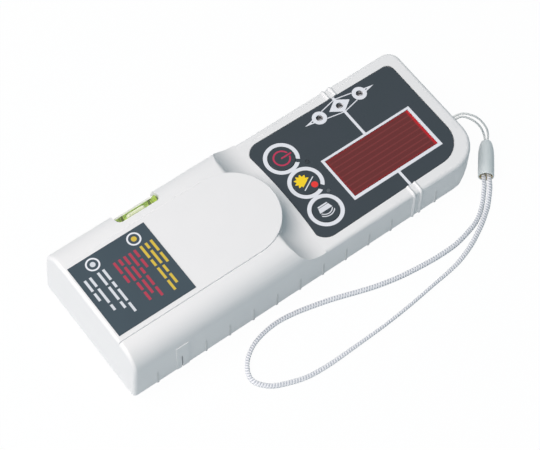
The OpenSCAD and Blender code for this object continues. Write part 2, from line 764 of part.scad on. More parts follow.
// Hollow above the concave ramp, with the rounded edge of the shoulder at its top
module ramp_cut() {
    turn = asin(ramp_l / ramp_r);
    eased = turn - ramp_edge_r * tan(turn / 2) / ramp_r * 180 / PI;
    arc = [for (i = [0:ramp_steps])
        let (a = eased * (1 - i / ramp_steps))
        [ramp_foot_y - ramp_r * sin(a), head_h + ramp_r * (1 - cos(a))]];
    top = round_corner([end_y, grip_h], [shoulder_y, grip_h], arc[0], ramp_edge_r, edge_steps);
    rotate([90, 0, 90])
        translate([0, 0, -half_w - over])
            linear_extrude(case_w + 2 * over)
                polygon(concat([[top[0].x, plateau_h + over]], top, arc,
                    [[ramp_foot_y + over, head_h], [ramp_foot_y + over, plateau_h + over]]));
}

// Section of a ridge that stands out by a rise on the back half's side, as x and z
function rear_ridge(rise) =
    [[half_w - wall / 2, foot_r], [half_w + rise, foot_r], [half_w + rise, split_h],
        [half_w - wall / 2, split_h]];

// The same on the front half, from the joint up and over the rim to the film
function front_ridge(rise) =
    let (inner = film_half_w(reference_y) + film_gap, corner = [half_w + rise, head_h + rise])
    concat([[inner, split_h], [corner.x, split_h]],
        round_corner([corner.x, split_h], corner, [inner, corner.y], rim_r + rise, edge_steps),
        [[inner, corner.y]]);

// Two reference ridges on each side, with a rounded back
module reference_ridges(front) {
    for (side = [0, 1], k = [-1, 1])
        mirror([side, 0, 0])
            loft([for (i = [0:ridge_steps])
                let (a = 180 * i / ridge_steps, rise = (ridge_rise + nick_r) * sin(a) - nick_r)
                let (y = reference_y + k * (ridge_w + ridge_gap) / 2 + ridge_w / 2 * cos(a))
                [for (p = front ? front_ridge(rise) : rear_ridge(rise)) [p.x, y, p.y]]]);
}

// Latch pads on both sides, between two heights
module latch_pads(z_low, z_high) {
    for (side = [0, 1])
        mirror([side, 0, 0])
            box([half_w - wall / 2, end_y + pad_start, z_low],
                [half_w + pad_rise, end_y + pad_start + pad_w, z_high]);
}

// Pocket of the strap in the nose, and the seats of its pin
module strap_pocket() {
    box([strap_x - pocket_w / 2, nose_y - pocket_l, pin_z - pocket_h / 2],
        [strap_x + pocket_w / 2, nose_y + over, pin_z + pocket_h / 2]);
    strap_rod(pin_r + pin_gap);
}

// Rod across the strap's pocket
module strap_rod(r) {
    translate([strap_x - pocket_w / 2 - pin_seat, nose_y - pin_nose_room, pin_z])
        rotate([0, 90, 0]) cylinder(r = r, h = pocket_w + 2 * pin_seat);
}

// Front half of the case
module front_case() {
    color("whitesmoke")
    difference() {
        union() {
            difference() {
                union() {
                    difference() {
                        loft(head_rings());
                        nose_cut();
                    }
                    difference() {
                        loft(grip_sections());
                        ramp_cut();
                    }
                    intersection() {
                        plateau();
                        behind_end();
                    }
                    reference_ridges(true);
                    latch_pads(split_h, pad_h);
                }
                front_hollow();
            }
            for (p = grip_screws) rod(p, post_r, split_h, grip_ceiling_z + wall / 2);
            for (p = head_screws) rod(p, post_r, board_top + screw_gap, ceiling_z + wall / 2);
        }
        translate([0, 0, film_z]) linear_extrude(head_h) film_outline(film_gap);
        panel_openings(ceiling_z - over, led_r + key_gap, pipe_r + key_gap);
        for (p = grip_screws) rod(p, screw_r + screw_bite, split_h - over, screw_seat + grip_screw_l + over);
        for (p = head_screws)
            rod(p, screw_r + screw_bite, board_top - over, screw_seat + head_screw_l + screw_gap);
        vial_notch();
        strap_pocket();
    }
}

// Hollow of the front half, with the block under the vial left standing
module front_hollow() {
    loft([for (z = [split_h - over, ceiling_z])
        case_ring(head_hollow_w, shoulder_y - 2 * wall, head_hollow_y, z,
            [end_corner_r, near_corner_r - wall, far_corner_r - wall, end_corner_r])]);
    difference() {
        box([-grip_hollow_w, end_at(plateau_h) + wall, split_h - over],
            [grip_hollow_w, shoulder_y - wall, grip_ceiling_z]);
        box([-half_w, vial_y - vial_l / 2 - 2 * wall, split_h + over],
            [-vial_x + vial_r + wall, vial_y + vial_l / 2 + 2 * wall, grip_h]);
    }
}

// Notch of the vial in the far shoulder, open at the top and at the side
module vial_notch() {
    low_y = vial_y - vial_l / 2 - vial_gap;
    high_y = vial_y + vial_l / 2 + vial_gap;
    inner_x = -vial_x + vial_r + vial_gap;
    translate([0, 0, grip_h - notch_depth])
        linear_extrude(notch_depth + plateau_rise + over)
            polygon(rounded([[inner_x, low_y], [inner_x, high_y], [-half_w - over, high_y],
                [-half_w - over, low_y]], [vial_end_r, vial_end_r, nick_r, nick_r], corner_steps));
}

// Back half of the case
module rear_case() {
    color("gainsboro")
    difference() {
        union() {
            difference() {
                union() {
                    difference() {
                        loft(rear_rings());
                        nose_cut();
                    }
                    grip_ribs();
                    reference_ridges(false);
                    latch_pads(foot_r, split_h);
                }
                rear_hollow();
            }
            battery_bay();
            rod([0, insert_y], insert_r + insert_boss, foot_r, insert_sink + insert_l + insert_boss);
            for (p = grip_screws) rod(p, grip_post_r, foot_r, split_h);
            for (p = concat(head_screws, board_screws_at)) rod(p, post_r, foot_r, board_z);
        }
        for (p = concat(grip_screws, head_screws)) {
            rod(p, seat_r, -over, screw_seat);
            rod(p, screw_r + screw_gap, -over, split_h + over);
        }
        for (p = board_screws_at)
            rod(p, screw_r + screw_bite, board_top - board_screw_l - screw_gap, split_h);
        rod([0, insert_y], insert_r + screw_bite, -over, insert_sink + insert_l);
        door_recess();
        sound_openings();
        pad_slots();
    }
}

// Upright slots in the latch pads
module pad_slots() {
    low_y = end_y + pad_start + slot_start;
    for (side = [0, 1])
        mirror([side, 0, 0])
            box([half_w - slot_w, low_y, -over],
                [half_w + pad_rise + over, low_y + slot_w, split_h - foot_r]);
}

// Thin upright ribs along both sides of the back half, left out at the reference ridges
module grip_ribs() {
    count = floor((nose_y - near_corner_r - rib_w - end_y - rib_start) / rib_pitch);
    for (side = [0, 1], i = [0:count]) {
        y = end_y + rib_start + i * rib_pitch;
        if (abs(y - reference_y) > ridge_w + ridge_gap)
            mirror([side, 0, 0])
                translate([0, y + rib_w / 2, 0])
                    rotate([90, 0, 0])
                        linear_extrude(rib_w)
                            polygon([[half_w - wall / 2, foot_r / 2], [half_w + rib_rise, foot_r / 2],
                                [half_w + rib_rise, split_h - rib_taper], [half_w, split_h],
                                [half_w - wall / 2, split_h]]);
    }
}

// Hollow of the back half: the head's slants with the nose, the grip's has a thicker floor
module rear_hollow() {
    loft([for (z = [floor_z, split_h + over])
        case_ring(head_hollow_w, shoulder_y, nose_at(z) - nose_wall, z,
            [end_corner_r, near_corner_r - wall, far_corner_r - wall, end_corner_r])]);
    box([-grip_hollow_w, end_at(split_h) + wall, grip_floor],
        [grip_hollow_w, shoulder_y + wall, split_h + over]);
}

// Walls of the battery bay, open at the back and lower towards the board
module battery_bay() {
    low = [-bay_half_w - bay_wall, bay_low_y - bay_wall, foot_r];
    high = [bay_half_w + bay_wall, bay_high_y + bay_wall, bay_h];
    difference() {
        box(low, high);
        box([-bay_half_w, bay_low_y, 0], [bay_half_w, bay_high_y, bay_h + over]);
        box([-bay_half_w, bay_low_y, split_h - wall], [bay_half_w, high.y + over, bay_h + over]);
    }
    box([-bay_half_w, contact_y - terminal_gap, foot_r], [bay_half_w, bay_high_y, grip_floor]);
}

// Opening of the battery bay in the back, with the ledge of the door and the groove of its bead
module door_recess() {
    half = door_half_w + door_gap;
    depth = door_sink + door_t + screw_gap;
    box([-half, door_low_y - door_gap, -over], [half, bead_y, depth]);
    box([-bay_half_w, bay_low_y, -over], [bay_half_w, contact_y - terminal_gap, grip_floor + over]);
    door_rod(bead_r + bead_gap, half);
    door_rod(door_pin_r + pin_gap, door_half_w + door_pin_l + door_gap);
    box([-half, bead_y - over, -over], [half, bead_y + bead_r + bead_gap, bead_z]);
    translate([0, door_low_y - door_gap, finger_depth - finger_r])
        rotate([90, 0, 0]) cylinder(r = finger_r, h = finger_l);
}

// Rod across the case on the door's hinge axis
module door_rod(r, half) {
    translate([-half, bead_y, bead_z]) rotate([0, 90, 0]) cylinder(r = r, h = 2 * half);
}

// Ring of sound holes and one in its middle
module sound_openings() {
    rod([0, sounder_y], sound_hole_r, -over, floor_z + over);
    for (i = [0:sound_holes - 1])
        rotate_about([0, sounder_y], 360 * i / sound_holes)
            rod([sounder_r / 2, 0], sound_hole_r, -over, floor_z + over);
}

// Turn the children about an upright axis through a point
module rotate_about(at, angle) {
    translate([at.x, at.y, 0]) rotate([0, 0, angle]) children();
}

// Door of the battery bay, with its hinge bead and latch
module battery_door() {
    color("gainsboro") {
        box([-door_half_w, door_low_y, door_sink], [door_half_w, bead_y, door_sink + door_t]);
        door_rod(bead_r, door_half_w);
        door_rod(door_pin_r, door_half_w + door_pin_l);
        box([-latch_w / 2, bay_low_y + door_gap, door_sink + door_t / 2],
            [latch_w / 2, bay_low_y + door_gap + latch_t, door_sink + door_t + latch_h]);
    }
}

// Printed film over the head
module overlay_film() {
    color("darkslategray")
    difference() {
        translate([0, 0, film_z]) linear_extrude(film_t) film_outline(0);
        panel_openings(film_z - over, led_hole_r, pipe_r + key_gap / 2);
    }
}

// Red filter over the sensors, with its flange behind the wall and its ribs
module sensor_window() {
    color("darkred") {
        translate([0, 0, window_under_z])
            linear_extrude(film_top - film_sink - window_under_z) window_outline(0);
        translate([0, 0, window_under_z]) linear_extrude(window_flange_t) window_outline(window_flange);
        for (i = [1:window_ribs])
            translate([window_x + window_w * (i / (window_ribs + 1) - 1 / 2), reference_y, window_under_z])
                box([-window_rib_w / 2, -window_l / 2 + shield_t, -window_rib_h],
                    [window_rib_w / 2, window_l / 2 - shield_t, 0]);
    }
}

// Black light box between the window and the board
module sensor_shield() {
    color("dimgray")
    translate([window_x, reference_y, board_top])
        linear_extrude(shield_h)
            difference() {
                square([shield_w, shield_l], center = true);
                square([shield_w - 2 * shield_t, shield_l - 2 * shield_t], center = true);
            }
}

// Column of photodiodes on the board, under the window
module photodiodes() {
    count = floor((window_l - 2 * shield_t) / diode_pitch);
    color("black")
    for (i = [0:count - 1]) {
        y = reference_y + (i - (count - 1) / 2) * diode_pitch;
        box([window_x - diode_w / 2, y - diode_l / 2, board_top],
            [window_x + diode_w / 2, y + diode_l / 2, board_top + diode_h]);
    }
}

// Main board in the head
module main_board() {
    half = head_hollow_w - board_gap;
    high_y = nose_y - board_margin;
    color("darkgreen")
    difference() {
        translate([0, 0, board_z])
            linear_extrude(board_t)
                polygon(rounded([[half, board_low_y], [half, high_y], [-half, high_y], [-half, board_low_y]],
                    [end_corner_r, near_corner_r - wall, far_corner_r - wall, end_corner_r], corner_steps));
        for (p = concat(head_screws, board_screws_at))
            rod(p, screw_r + 2 * screw_gap, board_z - over, board_top + over);
    }
}

// Controller chip on the board
module controller_chip() {
    low_x = led_foot_r + chip_room - led_x;
    color("black")
    box([low_x, reference_y - chip_w / 2, board_top],
        [low_x + chip_w, reference_y + chip_w / 2, board_top + chip_h]);
}

// Switches under the keys
module tact_switches() {
    color("silver")
    for (p = key_places) {
        box([p.x - switch_w / 2, p.y - switch_w / 2, board_top],
            [p.x + switch_w / 2, p.y + switch_w / 2, switch_top]);
        rod(p, switch_stem_r, switch_top, switch_stem_z);
    }
}

// High, level and low lights on their legs
module indicator_leds() {
    foot_z = board_top + led_leg_l;
    dome_z = film_z - film_gap - led_r;
    color("gray")
    for (p = led_places) {
        for (s = [-1, 1])
            box([p.x - led_leg_w / 2, p.y + s * led_r / 2 - led_leg_w / 2, board_top],
                [p.x + led_leg_w / 2, p.y + s * led_r / 2 + led_leg_w / 2, foot_z]);
        rod(p, led_foot_r, foot_z, foot_z + led_foot_h);
        rod(p, led_r, foot_z + led_foot_h, dome_z);
        translate([p.x, p.y, dome_z])
            rotate_extrude() intersection() {
                circle(r = led_r);
                square(led_r);
            }
    }
}

// Light pipes of the two status lights
module status_pipes() {
    color("dimgray")
    for (p = pipe_places) {
        rod(p, pipe_r, board_top, film_top);
        rod(p, pipe_foot_r, board_top, board_top + led_foot_h);
    }
}

// Flat sounder over the holes in the back
module piezo_sounder() {
    color("goldenrod") rod([0, sounder_y], sounder_r, floor_z, floor_z + sounder_h);
}

// One key: its face, the flange that keeps it in and its plunger
module key(at) {
    rod(at, key_r, key_flange_z - key_flange_t, key_top);
    rod(at, key_r + key_flange, key_flange_z - key_flange_t, key_flange_z);
    rod(at, plunger_r, plunger_z, key_flange_z);
}

// Key that switches the receiver on and off
module button_power() {
    color("darkslategray") key(key_places[0]);
}

// Key that sets how fine the reading is
module button_mode() {
    color("darkslategray") key(key_places[1]);
}

// Key that switches the sounder
module button_sound() {
    color("darkslategray") key(key_places[2]);
}

// Cylinder along the case in the vial's notch
module vial_rod(r, length, z) {
    translate([-vial_x, vial_y - length / 2, z]) rotate([-90, 0, 0]) cylinder(r = r, h = length);
}

// Full shape of the vial, with its rounded ends
module vial_shape() {
    half = vial_l / 2;
    ends = rounded([[vial_r, -half], [vial_r, half], [-vial_r, half], [-vial_r, -half]],
        [for (i = [0:3]) vial_end_r], corner_steps);
    translate([-vial_x, vial_y, vial_z])
        rotate([-90, 0, 0])
            rotate_extrude()
                polygon(concat([[0, -half]], [for (p = ends) if (p.x > 0) p], [[0, half]]));
}

// Clear tube of the vial
module vial_tube() {
    color("yellowgreen")
    difference() {
        vial_shape();
        vial_rod(vial_bore_r, vial_l + 2 * over, vial_z);
    }
}

// Plugs in both ends of the vial
module vial_plugs() {
    color("yellowgreen")
    difference() {
        intersection() {
            vial_shape();
            vial_rod(vial_bore_r, vial_l, vial_z);
        }
        vial_rod(vial_bore_r + over, vial_hollow_l, vial_z);
    }
}

// Spirit in the vial, with the way of the bubble along its top
module vial_spirit() {
    way_r = bubble_r + bubble_gap;
    way_l = bubble_l + 2 * (bubble_travel + bubble_gap);
    color("greenyellow")
    difference() {
        vial_rod(vial_bore_r, vial_hollow_l, vial_z);
        bubble_way(way_r, way_l);
        box([-vial_x - way_r, vial_y - way_l / 2, bubble_z],
            [-vial_x + way_r, vial_y + way_l / 2, vial_z + vial_bore_r + over]);
    }
}

// Rod with round ends along the top of the vial's bore
module bubble_way(r, length) {
    vial_rod(r, length - 2 * r, bubble_z);
    for (s = [-1, 1]) translate([-vial_x, vial_y + s * (length / 2 - r), bubble_z]) sphere(r = r);
}

// Bubble of the vial
module bubble() {
    color("honeydew") bubble_way(bubble_r, bubble_l);
}

// Plain plate on the grip's plateau
module label_plate() {
    low_y = end_y + label_start;
    color("darkslategray")
    box([-label_w / 2, low_y, plateau_h], [label_w / 2, low_y + label_l, plateau_h + label_t]);
}

// Block battery
module battery() {
    half = battery_w / 2;
    color("dimgray")
    translate([0, battery_y + battery_l / 2, battery_z])
        rotate([90, 0, 0])
            linear_extrude(battery_l)
                polygon(rounded([[half, 0], [half, battery_h], [-half, battery_h], [-half, 0]],
                    [for (i = [0:3]) battery_corner_r], corner_steps));
}

// Cylinder along the case at a terminal of the battery
module terminal_rod(side, r, y_low, y_high) {
    translate([side * terminal_pitch / 2, y_low, terminal_z])
        rotate([-90, 0, 0]) cylinder(r = r, h = y_high - y_low);
}

// Stud and socket, with the stud on the side given
module snap_pair(side, y_low, y_high) {
    terminal_rod(side, stud_r, y_low, y_high);
    difference() {
        terminal_rod(-side, socket_r, y_low, y_high);
        terminal_rod(-side, stud_r + terminal_gap, y_low - over, y_high + over);
    }
}

// Terminals on the battery
module battery_terminals() {
    low_y = battery_y + battery_l / 2;
    color("silver") snap_pair(1, low_y, low_y + terminal_h);
}

// Contact plate with the mating stud and the mating ring
module battery_contacts() {
    low_y = battery_y + battery_l / 2 + terminal_gap;
    color("silver") {
        box([-bay_half_w + battery_gap, contact_y, grip_floor],
            [bay_half_w - battery_gap, contact_y + contact_t, grip_floor + battery_h * contact_share]);
        terminal_rod(-1, stud_r, low_y, contact_y);
        difference() {
            terminal_rod(1, socket_r, low_y, contact_y);
            terminal_rod(1, stud_r + terminal_gap, low_y - over, contact_y);
        }
    }
}

// Two leads from the contact plate over the insert to the board
module battery_leads() {
    from_y = contact_y + contact_t;
    to_y = board_low_y + 2 * lead_r + board_gap;
    top_z = split_h + (ceiling_z - split_h) * lead_rise_share;
    color("firebrick")
    for (s = [-1, 1])
        tube(route([[s * lead_x, from_y, top_z], [s * lead_x, from_y + wall, top_z],
            [s * lead_x, insert_y, top_z], [s * lead_x, board_low_y, (top_z + board_top) / 2],
            [s * lead_x, to_y, board_top + 2 * lead_r],
            [s * lead_x, to_y, board_top + lead_gap]], cord_steps), lead_r);
}

// Tapped insert for a rod clamp
module threaded_insert() {
    color("gold")
    difference() {
        rod([0, insert_y], insert_r, insert_sink, insert_sink + insert_l);
        rod([0, insert_y], insert_bore_r, insert_sink - over, insert_sink + insert_l + over);
    }
}

// Screw that points up, with its head under the seat
module screw_up(at, length) {
    rod(at, screw_head_r, screw_seat - screw_head_h, screw_seat);
    rod(at, screw_r, screw_seat, screw_seat + length);
}

// Screws that hold the two halves of the case together
module case_screws() {
    color("silver") {
        for (p = grip_screws) screw_up(p, grip_screw_l);
        for (p = head_screws) screw_up(p, head_screw_l);
    }
}

// Screws that hold the board's front edge
module board_screws() {
    color("silver")
    for (p = board_screws_at) {
        rod(p, screw_head_r, board_top, board_top + screw_head_h);
        rod(p, screw_r, board_top - board_screw_l, board_top);
    }
}

// Pin that the strap loops round
module strap_pin() {
    color("silver") strap_rod(pin_r);
}

// String of the strap, doubled from the ferrule round the pin
module strap_string() {
    pin_at = [strap_x, nose_y - pin_nose_room, pin_z];
    turn = [for (i = [0:turn_steps])
        let (a = 90 + i * turn_step)
        pin_at + string_turn_r * [0, cos(a), sin(a)] + string_d * [i / turn_steps - 1 / 2, 0, 0]];
    color("silver")
    tube(concat(route(concat(string_out, [turn[0]]), cord_steps), [for (i = [1:turn_steps - 1]) turn[i]],
        route(concat([turn[turn_steps]], string_back), cord_steps)), string_d / 2);
}

// Bullet-shaped ferrule that joins string and cord, hollow at its mouth
module strap_ferrule() {
    nose = [for (i = [0:shoulder_steps])
        let (a = 90 * i / shoulder_steps)
        [ferrule_tip_r + (ferrule_r - ferrule_tip_r) * sin(a), ferrule_nose_l * (1 - cos(a))]];
    mouth_r = ferrule_r - ferrule_wall;
    color("gray")
    translate([ferrule_from.x, ferrule_from.y, ferrule_r])
        rotate([0, 90, atan2(ferrule_way.y, ferrule_way.x)])
            rotate_extrude()
                polygon(concat([[0, 0]], nose, [[ferrule_r, ferrule_l], [mouth_r, ferrule_l],
                    [mouth_r, ferrule_l - ferrule_mouth_l], [0, ferrule_l - ferrule_mouth_l]]));
}

// Loop of braided cord
module strap_cord() {
    color("lightgray")
    tube([for (p = route(cord_route, cord_steps)) [p.x, p.y, max(p.z, cord_d / 2)]], cord_d / 2);
}

front_case();
rear_case();
battery_door();
overlay_film();
sensor_window();
sensor_shield();
photodiodes();
main_board();
controller_chip();
tact_switches();
indicator_leds();
status_pipes();
piezo_sounder();
button_power();
button_mode();
button_sound();
vial_tube();
vial_plugs();
vial_spirit();
bubble();
label_plate();
battery();
battery_terminals();
battery_contacts();
battery_leads();
threaded_insert();
case_screws();
board_screws();
strap_pin();
strap_string();
strap_ferrule();
strap_cord();
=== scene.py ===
import math

import bmesh
import bpy
from mathutils import Matrix, Vector


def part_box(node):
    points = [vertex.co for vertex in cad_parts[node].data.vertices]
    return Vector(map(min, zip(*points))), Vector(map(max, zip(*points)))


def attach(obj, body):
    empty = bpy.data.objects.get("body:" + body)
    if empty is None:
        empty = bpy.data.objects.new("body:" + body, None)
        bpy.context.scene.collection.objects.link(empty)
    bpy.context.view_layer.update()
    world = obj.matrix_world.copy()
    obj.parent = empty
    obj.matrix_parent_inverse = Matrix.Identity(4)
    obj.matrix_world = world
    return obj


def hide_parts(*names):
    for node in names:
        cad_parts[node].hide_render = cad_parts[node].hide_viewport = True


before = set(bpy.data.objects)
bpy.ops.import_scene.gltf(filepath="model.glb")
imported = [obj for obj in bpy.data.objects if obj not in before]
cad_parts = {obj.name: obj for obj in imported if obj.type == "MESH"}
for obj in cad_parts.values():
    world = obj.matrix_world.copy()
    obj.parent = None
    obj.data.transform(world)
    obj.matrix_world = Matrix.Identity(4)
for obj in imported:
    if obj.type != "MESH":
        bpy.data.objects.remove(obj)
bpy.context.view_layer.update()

# Camera: a product photographer's view from above the grip's end,
# with a long lens, so that the edges of the case run almost parallel.
picture_width = 540
focal_pixels = 1975.4
around = math.radians(52.05)
above = math.radians(60.02)
roll = math.radians(1.57)
camera_reach = 0.7378
shift_right = 0.00091
shift_up = 0.00052
aim_point = Vector((0, 0, 0.0007))
backward = Vector((math.sin(around) * math.cos(above), -math.cos(around) * math.cos(above),
                   math.sin(above)))
level_right = Vector((math.cos(around), math.sin(around), 0))
level_up = backward.cross(level_right)
right = level_right * math.cos(roll) + level_up * math.sin(roll)
up = level_up * math.cos(roll) - level_right * math.sin(roll)
stand = backward * camera_reach + right * shift_right + up * shift_up + aim_point
lens = bpy.data.cameras.new("camera")
lens.sensor_width = 36
lens.lens = focal_pixels / picture_width * lens.sensor_width
lens.clip_start = 0.01
camera = bpy.data.objects.new("camera", lens)
camera.matrix_world = Matrix.Translation(stand) @ Matrix((right, up, backward)).transposed().to_4x4()
bpy.context.scene.collection.objects.link(camera)
bpy.context.scene.camera = camera
bpy.context.scene.view_settings.view_transform = "Standard"


# Studio: a white table top, one wide soft box high behind the grip's end, a small
# lamp along the near side, and a dim cool room that is darker past the sensor head.
class Shade:
    """One value in a node tree. Arithmetic on it adds Math nodes."""

    def __init__(self, tree, socket=None):
        self.tree = tree
        self.socket = socket

    def node(self, kind, settings=None, sockets=None, out=0):
        """Any other node: its type, its settings, and the values or links of its sockets."""
        made = self.tree.nodes.new("ShaderNode" + kind)
        for name, value in (settings or {}).items():
            setattr(made, name, value)
        for key, value in (sockets or {}).items():
            if isinstance(value, Shade):
                self.tree.links.new(value.socket, made.inputs[key])
            else:
                made.inputs[key].default_value = value
        return Shade(self.tree, made.outputs[out])

    def math(self, operation, *values, clamp=False):
        return self.node("Math", {"operation": operation, "use_clamp": clamp}, dict(enumerate(values)))

    def into(self, node, socket):
        self.tree.links.new(self.socket, node.inputs[socket])

    def __add__(self, other):
        return self.math("ADD", self, other)

    def __radd__(self, other):
        return self.math("ADD", other, self)

    def __sub__(self, other):
        return self.math("SUBTRACT", self, other)

    def __rsub__(self, other):
        return self.math("SUBTRACT", other, self)

    def __mul__(self, other):
        return self.math("MULTIPLY", self, other)

    def __rmul__(self, other):
        return self.math("MULTIPLY", other, self)

    def __truediv__(self, other):
        return self.math("DIVIDE", self, other)

    def __rtruediv__(self, other):
        return self.math("DIVIDE", other, self)

    def __pow__(self, other):
        return self.math("POWER", self, other)

    def __rpow__(self, other):
        return self.math("POWER", other, self)

    def __neg__(self):
        return self.math("MULTIPLY", self, -1)

    def __abs__(self):
        return self.math("ABSOLUTE", self)

    def least(self, other):
        return self.math("MINIMUM", self, other)

    def most(self, other):
        return self.math("MAXIMUM", self, other)

    def ramp(self, slope, start):
        """Straight ramp over this value, kept between 0 and 1."""
        return self.math("MULTIPLY_ADD", self, slope, start, clamp=True)

    def mix(self, low, high):
        """Colour between low and high, by this value."""
        return self.node("Mix", {"data_type": "RGBA"}, {0: self, 6: low, 7: high}, 2)


def seen_directly(tree):
    """1 for rays from the camera and for those that mirror or pass the object, else 0."""
    ray = tree.nodes.new("ShaderNodeLightPath")
    sockets = [Shade(tree, ray.outputs[name])
               for name in ("Is Camera Ray", "Is Glossy Ray", "Is Transmission Ray")]
    return sockets[0].most(sockets[1]).most(sockets[2])


room_light = 0.31
room_fall = 0.25
room_colour = (0.66, 0.9, 1.0, 1)
backdrop_white = (1, 1, 1, 1)
world = bpy.data.worlds.new("room")
world.use_nodes = True
bpy.context.scene.world = world
tree = world.node_tree
background = tree.nodes["Background"]
direct = seen_directly(tree)
outward = direct.node("TexCoord", out="Generated")
outward_y = direct.node("SeparateXYZ", {}, {0: outward}, "Y")
direct.mix(room_colour, backdrop_white).into(background, "Color")
(direct + (1 - direct) * (1 - room_fall * outward_y) * room_light).into(background, "Strength")

lamp_colour = (1.0, 0.895, 0.853)
# Each lamp has a width in metres, a power in watts and a place.
lamps = (("soft_box", 1.0, 13.4, (-0.16, -0.57, 1.04)), ("side_lamp", 0.2, 1.2, (0.38, -0.9, 0.22)))
for name, size, energy, place in lamps:
    light = bpy.data.lights.new(name, "AREA")
    light.shape = "DISK"
    light.size = size
    light.energy = energy
    light.color = lamp_colour
    lamp = bpy.data.objects.new(name, light)
    facing = Vector(place).to_track_quat("Z", "Y").to_matrix().to_4x4()
    lamp.matrix_world = Matrix.Translation(place) @ facing
    bpy.context.scene.collection.objects.link(lamp)

floor_reach = 3.0
floor_drop = 0.0002
floor_white = 0.955
floor_glow = 1.015
paper_grey = (0.57, 0.62, 0.645, 1)
bm = bmesh.new()
bmesh.ops.create_grid(bm, x_segments=1, y_segments=1, size=floor_reach)
bmesh.ops.translate(bm, verts=bm.verts, vec=(0, 0, -floor_drop))
floor_mesh = bpy.data.meshes.new("table_top")
bm.to_mesh(floor_mesh)
bm.free()
table_top = bpy.data.objects.new("table_top", floor_mesh)
bpy.context.scene.collection.objects.link(table_top)
paper = bpy.data.materials.new("white_table")
paper.use_nodes = True
tree = paper.node_tree
tree.nodes.remove(tree.nodes["Principled BSDF"])
matt = tree.nodes.new("ShaderNodeBsdfDiffuse")
matt.inputs["Color"].default_value = paper_grey
glow = tree.nodes.new("ShaderNodeEmission")
glow.inputs["Strength"].default_value = floor_glow
blend = tree.nodes.new("ShaderNodeMixShader")
(seen_directly(tree) * floor_white).into(blend, 0)
tree.links.new(matt.outputs[0], blend.inputs[1])
tree.links.new(glow.outputs[0], blend.inputs[2])
tree.links.new(blend.outputs[0], tree.nodes["Material Output"].inputs["Surface"])
floor_mesh.materials.append(paper)


# Back half of the case: injection-moulded pale plastic with thin upright ribs,
# a slanted nose, the battery bay and the posts of the screws inside it.
mm = 0.001
hard_edge = 32


def finish(name, **values):
    """New material, its shader with constant values, and the place on the piece in metres."""
    material = bpy.data.materials.new(name)
    material.use_nodes = True
    skin = material.node_tree.nodes["Principled BSDF"]
    for socket, value in values.items():
        skin.inputs[socket.replace("_", " ")].default_value = value
    place = Shade(material.node_tree).node("TexCoord", out="Object")
    return material, skin, place


def grain(place, size, detail=2.0):
    """Cloudy noise from 0 to 1 with patches of a size in metres."""
    return place.node("TexNoise", {}, {"Vector": place, "Scale": 1 / size, "Detail": detail}, "Fac")


def roughen(skin, noise, low, spread):
    """Roughness that rises from a low value with a noise."""
    (low + spread * noise).into(skin, "Roughness")


def relief(skin, height, depth, strength):
    """Fine surface relief, with its depth in metres."""
    bump = height.node("Bump", {}, {"Height": height, "Distance": depth, "Strength": strength})
    bump.into(skin, "Normal")


def moulded(name, pale, deep, rough):
    """Satin moulded plastic: a fine spark-eroded grain and faint clouds of colour and gloss."""
    material, skin, place = finish(name, IOR=1.5)
    colour = grain(place, 11 * mm).mix(pale, deep)
    colour.into(skin, "Base Color")
    fine = grain(place, 0.35 * mm, detail=3.0)
    roughen(skin, fine, low=rough - 0.05, spread=0.1)
    relief(skin, fine, depth=0.03 * mm, strength=0.35)
    return material, skin, place, colour


def flat_place(place):
    """Place across and along the case, in millimetres."""
    parts = [place.node("SeparateXYZ", {}, {0: place}, axis) for axis in ("X", "Y")]
    return [part * (1 / mm) for part in parts]


def ink(edge):
    """1 inside a shape's edge in millimetres, 0 outside it, with a screen print's soft border."""
    soft_print = 0.09
    return edge.ramp(-1 / soft_print, 0.5)


def settle(piece, body, slot, *nodes):
    """Link a finished piece, let it ride on its body and stand for its CAD solids."""
    bpy.context.scene.collection.objects.link(piece)
    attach(piece, body)
    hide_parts(*nodes)


def shell_from(node, name, edge):
    """Merged copy of a CAD solid, smooth on its curves, with its hard edges eased."""
    same_place = 0.001 * mm
    same_plane = math.radians(0.05)
    bm = bmesh.new()
    bm.from_mesh(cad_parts[node].data)
    bmesh.ops.remove_doubles(bm, verts=bm.verts, dist=same_place)
    bmesh.ops.dissolve_limit(bm, angle_limit=same_plane, verts=bm.verts, edges=bm.edges)
    mesh = bpy.data.meshes.new(name)
    bm.to_mesh(mesh)
    bm.free()
    mesh.shade_smooth()
    mesh.set_sharp_from_angle(angle=math.radians(hard_edge))
    piece = bpy.data.objects.new(name, mesh)
    if edge:
        bevel = piece.modifiers.new("eased_edges", "BEVEL")
        bevel.width = edge
        bevel.segments = 2
        bevel.limit_method = "ANGLE"
        bevel.angle_limit = math.radians(hard_edge)
        bevel.use_clamp_overlap = True
    weight = piece.modifiers.new("even_shading", "WEIGHTED_NORMAL")
    weight.keep_sharp = True
    return piece


case_pale = (0.845, 0.85, 0.86, 1)
case_deep = (0.82, 0.828, 0.84, 1)
case_rough = 0.42
case_edge = 0.12 * mm
rib_painted_shade = (0.66, 0.67, 0.68, 1)
rib_low, rib_high = 28.5, 28.66
pad_y, pad_half = -58.75, 3.2
reference_y, ridge_half = 47.9, 3.0
rear_plastic, rear_skin, rear_place, rear_colour = moulded("rear_plastic", case_pale, case_deep, case_rough)
x, y = flat_place(rear_place)
# The ribs' outer faces are painted darker: painted shade standing in for the thin shadow beside each rib.
ribs = ink(rib_low - abs(x)) * ink(abs(x) - rib_high)
ribs = ribs * ink(pad_half - abs(y - pad_y)) * ink(ridge_half - abs(y - reference_y))
ribs.mix(rear_colour, rib_painted_shade).into(rear_skin, "Base Color")
rear_shell = shell_from("rear_case", "rear_shell", case_edge)
rear_shell.data.materials.append(rear_plastic)
settle(rear_shell, "receiver", "case_plastic", "rear_case")


